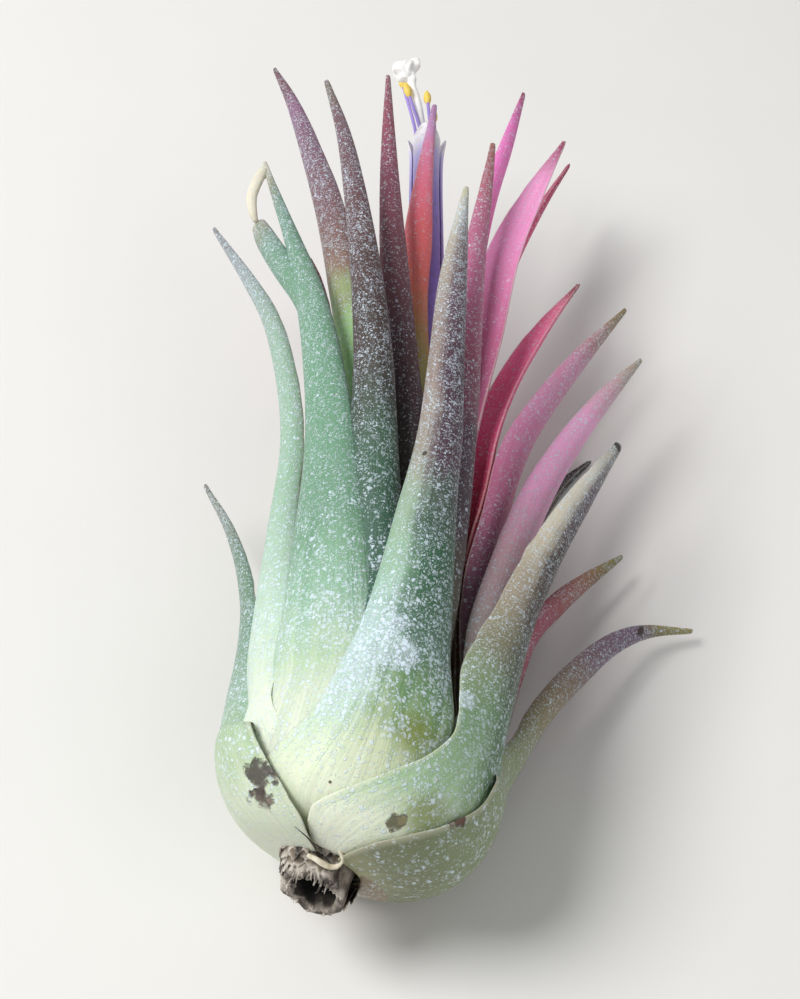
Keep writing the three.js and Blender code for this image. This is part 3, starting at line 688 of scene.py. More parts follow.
def add_leaf(leaf):
    """Models one leaf as a strip, with the small unevenness of something grown."""
    seed = sum(map(ord, leaf["name"]))

    def grown(places, along, across, back):
        pairs = list(zip(along, across))
        swell = np.array([noise.noise(Vector((a * 9, c * 1.2, seed))) for a, c in pairs])
        ripple = np.array([noise.noise(Vector((a * 34, c, seed + 9))) for a, c in pairs])
        waves = ripple * across**4 * leaf.get("wavy", WAVINESS)
        places = places + back * (swell * 0.1 + waves)[:, None]
        if "lifted" in leaf:
            columns = stem_line.points.T
            axis = np.stack([np.interp(places[:, 1], columns[1], c) for c in columns], axis=-1)
            out = (places - axis) / np.linalg.norm(places - axis, axis=1, keepdims=True)
            side, reach, lift = leaf["lifted"]
            share = np.clip((across * side - 0.6) / 0.4, 0, 1) ** 1.3
            share = share * np.clip(2 - 2 * along / reach, 0, 1)
            places += out * (share * lift)[:, None]
        places[:, 2] = np.maximum(places[:, 2], LEAST_HEIGHT)
        return places

    stations = leaf_stations(leaf)
    parts = [add_strip(leaf["name"] + "_grown", Strip(stations), 14, 72, shape=grown)]
    for loose in leaf.get("loose", ()):
        back, edge = stations[0][1:3]
        strip = Strip(blade_stations(loose["rows"], back, np.cross(back, edge)))
        parts.append(add_strip("loose", strip, 8, 24))
        first, last = loose["along"]
        for share in parts[-1].data.attributes["along"].data:
            share.value = first + (last - first) * share.value
    return join_pieces(leaf["name"] + "_grown", parts)


def scale_group():
    """A node group for the silvery scales. Cover is how thickly they lie, and Fine how small."""
    group = bpy.data.node_groups.new("silver_scales", "ShaderNodeTree")
    for name, kind in (("Place", "Vector"), ("Cover", "Float"), ("Fine", "Float")):
        group.interface.new_socket(name, in_out="INPUT", socket_type="NodeSocket" + kind)
    group.interface.new_socket("Scales", in_out="OUTPUT", socket_type="NodeSocketFloat")
    given = group.nodes.new("NodeGroupInput").outputs
    place, cover = given["Place"], given["Cover"]
    inputs = {"Vector": place, "Scale": 3400, "Detail": 2}
    wobble = add_node(group, "TexNoise", inputs).outputs["Color"]
    inputs = {0: wobble, 1: [0.4 * MM] * 3, 2: place}
    jagged = add_node(group, "VectorMath", inputs, operation="MULTIPLY_ADD").outputs[0]
    patches = noise_at(group, place, 450, 3)
    grit = noise_at(group, place, 1600, 2)
    uneven = calc(group, "SUBTRACT", calc(group, "ADD", patches, grit), 1)
    swing = product(group, cover, 3.4, calc(group, "SUBTRACT", 1.1, cover))
    cover = calc(group, "MULTIPLY_ADD", uneven, swing, cover)
    result = 0
    for grain, coarse, fine in SCALE_LAYERS:
        inputs = {"Vector": jagged, "Scale": grain, "Randomness": 1.0}
        cells = add_node(group, "TexVoronoi", inputs).outputs
        drawn = add_node(group, "SeparateColor", {"Color": cells["Color"]}).outputs
        most = calc(group, "MULTIPLY_ADD", given["Fine"], fine - coarse, coarse)
        kept = calc(group, "SUBTRACT", product(group, cover, most), drawn[0])
        size = calc(group, "MULTIPLY_ADD", drawn[2], 0.3, 0.32)
        away = calc(group, "DIVIDE", cells["Distance"], size)
        dot = product(group, remap(group, kept, -0.08, 0.08), remap(group, away, 0.6, 1.15, 1.0, 0.0))
        bright = calc(group, "MULTIPLY_ADD", drawn[1], 0.65, 0.35)
        result = calc(group, "MAXIMUM", result, product(group, dot, bright))
    group.links.new(result, group.nodes.new("NodeGroupOutput").inputs["Scales"])
    return group


scales_on_leaf = scale_group()


def spot_distance(tree, place, spot):
    """How far a place is from a spot given in millimetres."""
    inputs = {0: place, 1: [value * MM for value in spot]}
    return add_node(tree, "VectorMath", inputs, operation="DISTANCE").outputs["Value"]


def fade(tree, distance, size, core, most):
    """most in the core of a spot, a share of its size, going down to 0 at its size in millimetres."""
    return remap(tree, distance, core * size * MM, size * MM, most, 0.0)


def leaf_material(leaf, roughness=0.55):
    """The leaf's colours along it, streaked, with silvery scales, thin pale margins and its spots."""
    material, tree, place = new_material(leaf["name"] + "_skin")
    seed = sum(map(ord, leaf["name"])) % 97
    along, across = read_mark(tree, "along"), read_mark(tree, "across")

    def drawn_out(stretch, scale, detail):
        """A noise that is drawn out along the leaf."""
        inputs = {"X": product(tree, across, stretch), "Y": along, "Z": seed}
        return noise_at(tree, add_node(tree, "CombineXYZ", inputs).outputs[0], scale, detail)

    streaks = drawn_out(5, 2.2, 5)
    lines = drawn_out(16, 2.5, 3)
    cloud = noise_at(tree, place, 300, 5)
    uneven = calc(tree, "SUBTRACT", calc(tree, "ADD", streaks, cloud), 1)
    shifted = calc(tree, "MULTIPLY_ADD", uneven, 0.1, along)
    base = tone_ramp(tree, shifted, stops(leaf["tones"]))
    # painted light and shade: lighter lit tones left of lit_to, where the light falls, darker tones right
    lit = 0
    if "lit_tones" in leaf:
        wander = calc(tree, "MULTIPLY_ADD", uneven, 0.5, across)
        lit = remap(tree, wander, leaf["lit_to"] - 0.25, leaf["lit_to"] + 0.25, 1.0, 0.0)
        base = mix(tree, lit, base, tone_ramp(tree, shifted, stops(leaf["lit_tones"])))
    shade = calc(tree, "MULTIPLY_ADD", remap(tree, lines, 0.3, 0.7), 0.1, 0.95)
    shade = add_node(tree, "CombineColor", {"Red": shade, "Green": shade, "Blue": shade}).outputs[0]
    base = mix(tree, 1.0, base, shade, blend="MULTIPLY")

    # a ramp holds colours only: the covers go in as greys, and a power makes them shares again
    greys = [(share, f"{round(255 * float(value)):02x}" * 3) for share, value in stops(leaf["scales"])]
    cover = calc(tree, "POWER", tone_ramp(tree, shifted, greys), GREY_POWER)
    fineness = remap(tree, along, 0.22, 0.5)
    coarseness = calc(tree, "SUBTRACT", 1, fineness)
    # painted highlight: more silver on the sheath where the light falls, on leaves with a lit cover
    highlight_silver = product(tree, coarseness, leaf.get("painted_highlight_cover", 0), remap(tree, along, 0.1, 0.22))
    cover = calc(tree, "MULTIPLY_ADD", lit, highlight_silver, cover)
    # painted reflection: a bloom spot gives full silver cover, thick scales that also stand for the
    # light's sheen
    for spot, size in leaf.get("bloom_and_sheen", ()):
        bloom_and_sheen = fade(tree, spot_distance(tree, place, spot), size, 0.3, 1.0)
        cover = calc(tree, "MAXIMUM", cover, bloom_and_sheen)
    inputs = {"Place": place, "Cover": cover, "Fine": fineness}
    scales = add_node(tree, "Group", inputs, node_tree=scales_on_leaf).outputs["Scales"]
    for spot, size, tone in leaf.get("stains", ()):
        stain = fade(tree, spot_distance(tree, place, spot), size, 0.2, 0.8)
        base = mix(tree, stain, base, colour(tone))
    deeper = calc(tree, "MULTIPLY_ADD", cover, 0.42, 1)
    base = add_node(tree, "Gamma", {"Color": base, "Gamma": deeper}).outputs[0]
    haze = remap(tree, cover, 0.5, 1.15, 0.0, 0.4)
    silver = calc(tree, "MULTIPLY_ADD", scales, 0.85, haze, clamp=True)
    base = mix(tree, silver, base, colour(SILVER))
    edge = remap(tree, calc(tree, "ABSOLUTE", across), 0.92, 1.0)
    base = mix(tree, product(tree, edge, 0.3), base, colour("e6e2cc"))

    # a scar is a pit with a ragged, partly pale rim
    crumble = noise_at(tree, place, 1300, 5)
    pits = 0
    for spot, size, tone in leaf.get("scars", ()):
        distance = spot_distance(tree, place, spot)
        ragged = calc(tree, "SUBTRACT", crumble, 0.5)
        ragged = calc(tree, "MULTIPLY_ADD", ragged, 2.6 * size * MM, distance)
        pit = fade(tree, ragged, size, 0.55, 0.92)
        rim = mix(tree, remap(tree, crumble, 0.45, 0.62), colour(tone), colour("a89a86"))
        outwards = remap(tree, distance, 0.2 * size * MM, size * MM)
        base = mix(tree, pit, base, mix(tree, outwards, colour(tone), rim))
        pits = calc(tree, "MAXIMUM", pits, pit)
    height = product(tree, scales, 0.05)
    for value, strength in ((lines, 0.05), (cloud, 0.12), (pits, -0.25)):
        height = calc(tree, "MULTIPLY_ADD", value, strength, height)
    skin = {"Sheen_Weight": 0.05, "Subsurface_Weight": 0.08, "Subsurface_Scale": 0.001}
    finish_material(tree, base, roughness, height, bump=1.0, **skin)
    return material


dress(add_leaf(BRACT), leaf_material(BRACT, 0.45), "bract", "floral_bract")

# The inner leaves
# The youngest nine leaves stand round the flower. Flowering has turned most of them rose and crimson
# above their green sheaths, and their scales are sparse.
INNER_LEAVES = [
    {
        "name": "inner_leaf_left", "slot": "leaf_dusky", "turn": -38, "foot": 5.4, "sunk": 4.5,
        "wrap": (36, 36),
        "blade": [
            (-2.8, 16, 15.2, 4), (-3.4, 25, 15.6, 3.4), (-3.9, 31.4, 16, 3.1), (-4.7, 37.3, 17, 3.0),
            (-6.3, 44.8, 18, 3.0), (-7.9, 52, 18.5, 3.0), (-10.7, 60.9, 19, 2.0), (-12.7, 66.7, 19, 1.2),
            (-14.8, 71.5, 19, 0.35),
        ],
        "tones": (
            "0 dcdcc0, 0.2 a8be94, 0.35 98c488, 0.5 a8d898, 0.58 a0c084, 0.64 987c6c, 0.72 8a686a, "
            "0.82 8c6a78, 0.92 9c7090, 1 7d5a50"
        ),
        "scales": "0 0.1, 0.5 0.15, 0.6 0.25, 0.7 0.5, 0.85 0.55, 1 0.55",
    },
    {
        "name": "inner_leaf_right", "slot": "leaf_crimson", "turn": 104, "foot": 5.8, "sunk": 4.5,
        "wrap": (36, 36), "roll": 50,
        "blade": [
            (5.8, 17, 9.8, 2.8), (7, 26.4, 10, 2.7), (7.5, 33.1, 10, 2.7), (9.2, 40.7, 9, 2.5),
            (11.8, 47.2, 9, 1.9), (15.3, 55.2, 8, 0.35),
        ],
        "tones": (
            "0 d0caa4, 0.2 8f8558, 0.35 94384c, 0.5 d04068, 0.62 f45c94, 0.8 ff7cae, 0.93 e87ca0, "
            "1 a04858"
        ),
        "scales": "0 0.05, 0.4 0.08, 0.7 0.15, 1 0.3",
    },
    {
        "name": "inner_leaf_small", "slot": "leaf_dusky", "turn": -78, "foot": 6.2, "sunk": 4.6,
        "wrap": (34, 34),
        "blade": [
            (-4.8, 18, 12.4, 3), (-5.6, 27, 12.4, 2.6), (-6.4, 35, 13, 2.4), (-7.4, 42.5, 13.8, 2.2),
            (-8.5, 47, 14, 1.6), (-9.4, 50.4, 14, 0.35),
        ],
        "tones": "0 dcdcc0, 0.3 8fa67e, 0.6 b09a7c, 0.72 c8a890, 0.82 b4867c, 0.92 a86a70, 1 8d5f58",
        "scales": "0 0.1, 0.5 0.4, 1 0.5",
    },
    {
        "name": "inner_leaf_under", "slot": "leaf_olive", "turn": 178, "foot": 6.6, "sunk": 4.8,
        "wrap": (34, 34),
        "blade": [
            (0.8, 19, 7.6, 3.6), (0.6, 28, 7, 3), (0, 36, 6.6, 2.5), (-1, 44, 6.2, 1.8),
            (-2.4, 51, 6, 0.4),
        ],
        "tones": "0 d0cba6, 0.2 9a9a6a, 0.45 8a7f5c, 0.7 8a6456, 0.9 95585c, 1 6d4440",
        "scales": "0 0.05, 0.5 0.3, 1 0.4",
    },
    {
        "name": "inner_leaf_dark", "slot": "leaf_dusky", "turn": 14, "foot": 7, "sunk": 5.1,
        "wrap": (34, 34),
        "blade": [
            (1.8, 18, 15.6, 3.6), (1.5, 27.4, 17, 3.0), (0.5, 32, 18, 2.9), (-0.6, 39.9, 19.4, 2.7),
            (-1.7, 48.5, 20.6, 2.1), (-2.6, 57, 21.4, 1.4), (-3.5, 67.2, 22, 0.35),
        ],
        "tones": (
            "0 d5d2b4, 0.2 8b8f6c, 0.32 4c4a40, 0.45 3d2c2f, 0.58 5c3a42, 0.7 7c4a56, 0.85 9a566c, "
            "1 a45e6c"
        ),
        "scales": "0 0.1, 0.4 0.06, 0.7 0.18, 0.9 0.32, 1 0.4",
    },
    {
        "name": "inner_leaf_blush", "slot": "leaf_pink", "turn": 108, "foot": 7.6, "sunk": 5.4,
        "wrap": (32, 32), "roll": 62, "channel": 0.3,
        "blade": [
            (4.8, 22, 11.6, 3.2), (5.8, 34, 11.8, 3.2), (6.7, 43.2, 12, 3.6), (8.1, 53.7, 12.2, 3.3),
            (10.5, 62.2, 12.2, 2.3), (13.5, 71.2, 12, 0.35),
        ],
        "tones": (
            "0 d0cba8, 0.25 8a8058, 0.38 a05c6c, 0.5 b86488, 0.62 cc7098, 0.8 ec98c8, 0.92 f6a8d4, "
            "1 b05878"
        ),
        "scales": "0 0, 0.5 0.05, 0.8 0.08, 1 0.2",
    },
    {
        "name": "inner_leaf_blush_low", "slot": "leaf_crimson", "turn": 124, "foot": 8, "sunk": 5.5,
        "wrap": (30, 30),
        "blade": [
            (4.4, 23, 9.4, 2.8), (5.6, 35, 8.8, 2.5), (6.9, 45, 8.8, 2.3), (8.9, 56, 8.9, 1.9),
            (11.8, 65.1, 9, 1.3), (14.2, 71.4, 9, 0.35),
        ],
        "tones": "0 d0cba8, 0.25 8a7a52, 0.4 a83c58, 0.6 d84478, 0.8 ea5890, 1 b04468",
        "scales": "0 0.05, 0.5 0.08, 1 0.2",
    },
    {
        "name": "inner_leaf_red", "slot": "leaf_crimson", "turn": 52, "foot": 8.4, "sunk": 5.6,
        "wrap": (30, 30),
        "blade": [
            (3.4, 22, 15, 2.8), (4.6, 35, 15.2, 2.3), (5.4, 44, 15, 2.2), (5.9, 52, 15, 2.2),
            (6.7, 59, 15, 2.1), (7.9, 65.8, 15, 1.5), (9.3, 74.6, 15, 0.35),
        ],
        "tones": (
            "0 d5cfa8, 0.25 8f8a58, 0.4 8d4a48, 0.55 c4487a, 0.7 e060a4, 0.85 fa86d0, 0.95 e480c0, "
            "1 9d4868"
        ),
        "scales": "0 0.05, 0.5 0.06, 0.8 0.12, 1 0.3",
    },
    {
        "name": "inner_leaf_low", "slot": "leaf_olive", "turn": -146, "foot": 8.8, "sunk": 5.7,
        "wrap": (30, 30),
        "blade": [(-1.2, 22, 9.8, 2.8), (-2, 32, 9.8, 2.4), (-3.2, 42, 10, 1.9), (-4.8, 51, 10.2, 0.35)],
        "tones": "0 d6d4b0, 0.2 9fae7c, 0.5 83946a, 0.75 8a8464, 1 8d6a58",
        "scales": "0 0.05, 0.5 0.35, 1 0.5",
    },
]
for leaf in INNER_LEAVES:
    dress(add_leaf(leaf), leaf_material(leaf), leaf["slot"], leaf["name"])

# The middle leaves
# Nine grown leaves whose sheaths make the inside of the bulb. They are green low down and dusky to
# rose above, under a net of silvery scales. One has torn near its tip.
MIDDLE_LEAVES = [
    {
        "name": "middle_leaf_torn", "slot": "leaf_green", "turn": -34, "foot": 1.8, "sunk": 2.4,
        "wrap": (34, 34), "lifted": (-1, 0.5, -0.4),
        "blade": [
            (-5, 7.5, 17.2, 9), (-5.2, 16.9, 17.8, 6.8), (-5.5, 23.6, 18.5, 5), (-6.4, 30.7, 19, 3.9),
            (-8.3, 39.9, 19, 2.9), (-10.5, 47.3, 19, 1.5), (-12.3, 52.4, 19, 0.9),
            (-14.1, 57.6, 19, 0.35),
        ],
        "tones": (
            "0 ebe9d6, 0.12 dfe5d2, 0.2 c8dcbc, 0.3 9cc2a2, 0.4 7ea68a, 0.62 7ca88a, 0.8 82a88e, "
            "0.9 88a896, 0.95 a0a490, 1 ebe5d0"
        ),
        "scales": "0 0.02, 0.12 0.1, 0.18 0.4, 0.26 0.7, 0.36 0.55, 0.5 0.45, 0.8 0.55, 0.95 0.6, 1 0.05",
        "scars": [((-4.8, 28.5, 19.7), 0.18, "f4f6f2"), ((-14.3, 51.9, 17.2), 0.5, "4a3a30")],
        "loose": [
            {
                "along": (0.55, 0.98),
                "rows": [
                    (-6.6, 34, 18.6, 2.4), (-8.6, 40.5, 18.4, 2.4), (-11.4, 45.5, 18, 2.3),
                    (-13.4, 49.5, 17.4, 2.0), (-14.2, 51.6, 17, 1.4),
                ],
            },
            {
                "along": (1.1, 1.3),
                "rows": [
                    (-13.9, 56.5, 18.9, 0.6), (-14.4, 55.2, 18.8, 1.0), (-14.8, 53.5, 18.3, 1.0),
                    (-14.5, 51.9, 17.8, 0.8), (-14.2, 51.3, 17.3, 0.5),
                ],
            },
        ],
    },
    {
        "name": "middle_leaf_right_1", "slot": "leaf_pink", "turn": 98, "foot": 2.2, "sunk": 1.9,
        "wrap": (44, 44), "roll": -30,
        "blade": [
            (9.8, 6.5, 7, 3.4), (11.8, 15.3, 6, 2.6), (14.2, 19.7, 5, 2.2), (16.8, 23.3, 4, 1.5),
            (19.6, 26.8, 3, 0.35),
        ],
        "tones": "0 d0cba6, 0.2 9a8a62, 0.35 a86a60, 0.5 b4606c, 0.72 b46478, 0.86 a87868, 1 8b8a50",
        "scales": "0 0.1, 0.5 0.2, 1 0.4",
    },
    {
        "name": "middle_leaf_left", "slot": "leaf_green", "turn": -78, "foot": 2.4, "sunk": 2.1,
        "wrap": (37, 44), "rise": 8, "roll": 22,
        "blade": [
            (-9.3, 8, 11.4, 6.8), (-9.4, 15.1, 11.2, 5.2), (-9.3, 22.3, 11.4, 3.6),
            (-9.2, 29.1, 12, 3.0), (-10.2, 35.9, 12.3, 2.7), (-12.5, 43.9, 12.5, 2.1),
            (-15, 48.8, 12.5, 1.5), (-19.1, 56.2, 12, 0.35),
        ],
        "tones": "0 eef0dc, 0.15 e8f0dc, 0.3 c8e0c4, 0.5 a4c8a6, 0.75 9cbc9c, 0.9 9a9f98, 1 6d5440",
        "scales": "0 0.1, 0.15 0.4, 0.3 0.75, 0.5 0.7, 0.75 0.75, 1 0.85",
    },
    {
        "name": "middle_leaf_right_2", "slot": "leaf_pink", "turn": 72, "foot": 2.8, "sunk": 2.7,
        "wrap": (42, 42), "roll": -25,
        "blade": [
            (8.6, 9, 13.8, 4.2), (10.2, 17.9, 13, 3.4), (12, 25.1, 12, 3.0), (14.9, 32.8, 11, 2.4),
            (17.9, 38.7, 10.5, 1.7), (20.8, 43.7, 10, 0.35),
        ],
        "tones": (
            "0 d8d6b4, 0.15 bcc09c, 0.28 c0b8a8, 0.4 c4b0b0, 0.52 d8acb8, 0.66 fcb4de, 0.82 f4b4da, "
            "0.92 d0b0b0, 1 a89a6a"
        ),
        "scales": "0 0.1, 0.3 0.35, 0.6 0.4, 0.85 0.5, 1 0.7",
    },
    {
        "name": "middle_leaf_centre", "slot": "leaf_dusky", "turn": -8, "foot": 3.2, "sunk": 3.3,
        "wrap": (40, 40),
        "blade": [
            (-0.6, 11.5, 17.6, 6), (-1.2, 18.8, 18.6, 4.4), (-1.7, 25.6, 19.8, 3.7),
            (-2.2, 31.9, 21.2, 3.2), (-3.3, 39.5, 22.8, 2.6), (-4.9, 47.9, 24.2, 1.9),
            (-6.5, 54.9, 25, 1.2), (-8.6, 61.3, 25.6, 0.35),
        ],
        "tones": (
            "0 dfe0c6, 0.12 8ca488, 0.22 4a745e, 0.35 456c58, 0.45 4c6e58, 0.55 4a4840, 0.65 55423f, "
            "0.8 7a5a5e, 0.92 8a6c74, 1 8a7660"
        ),
        "scales": "0 0.1, 0.2 0.25, 0.4 0.38, 0.55 0.35, 0.75 0.45, 1 0.6",
    },
    {
        "name": "middle_leaf_under_left", "slot": "leaf_green", "turn": -122, "foot": 3.6, "sunk": 3.3,
        "wrap": (40, 40), "rise": 10,
        "blade": [
            (-5.4, 15, 7.6, 4), (-5.6, 24, 6.6, 3), (-6, 31, 5.4, 2.5), (-6.6, 38, 4.6, 1.8),
            (-7.4, 43, 4, 0.4),
        ],
        "tones": "0 d3d4b4, 0.15 aebf96, 0.35 7f9c7a, 0.65 74886c, 0.88 86786c, 1 6d5440",
        "scales": "0 0.1, 0.3 0.5, 0.7 0.6, 1 0.6",
    },
    {
        "name": "middle_leaf_right_3", "slot": "leaf_pink", "turn": 86, "foot": 4, "sunk": 3.5,
        "wrap": (38, 38), "roll": -30,
        "blade": [
            (7.4, 13, 11.6, 3.6), (8.8, 23.5, 11, 3.2), (10.3, 31.8, 10.5, 3.0), (12.8, 38.2, 10, 2.5),
            (16.3, 45.1, 9.5, 1.7), (19.6, 51.1, 9, 0.35),
        ],
        "tones": (
            "0 d0cba6, 0.2 7f7a58, 0.33 745060, 0.45 985e76, 0.58 d07ca0, 0.72 e298c0, 0.86 d89cb8, "
            "0.94 b4948a, 1 9a8c60"
        ),
        "scales": "0 0.05, 0.4 0.12, 0.7 0.3, 1 0.5",
    },
    {
        "name": "middle_leaf_dusky", "slot": "leaf_dusky", "turn": 30, "foot": 4.4, "sunk": 3.8,
        "wrap": (38, 38),
        "blade": [
            (4.4, 12, 16.8, 4.6), (5.2, 20, 18, 3.4), (5.5, 27.4, 19, 3.1), (5.6, 35.7, 20.6, 2.6),
            (5.8, 44.6, 21.2, 2.0), (6.3, 51.7, 21.8, 1.2), (6.6, 58, 22, 0.35),
        ],
        "tones": (
            "0 d8d6b8, 0.15 a9ad88, 0.3 6f6a5c, 0.4 503f48, 0.5 5c4450, 0.62 a05a70, 0.75 c07094, "
            "0.88 c07690, 1 a5705f"
        ),
        "scales": "0 0.1, 0.3 0.15, 0.5 0.2, 0.8 0.25, 1 0.4",
    },
    {
        "name": "middle_leaf_under_right", "slot": "leaf_olive", "turn": 134, "foot": 4.8, "sunk": 3.9,
        "wrap": (38, 38), "rise": 10,
        "blade": [
            (5.2, 15, 7, 3.8), (6, 24, 6, 3), (6.8, 31, 5, 2.4), (7.6, 37, 4.2, 1.7),
            (8.4, 41, 3.6, 0.4),
        ],
        "tones": "0 cbc69e, 0.15 9a9a6c, 0.35 7d7656, 0.6 7a5a54, 0.85 8a5a62, 1 6d5440",
        "scales": "0 0.1, 0.4 0.4, 1 0.5",
    },
]
for leaf in MIDDLE_LEAVES:
    dress(add_leaf(leaf), leaf_material(leaf), leaf["slot"], leaf["name"])

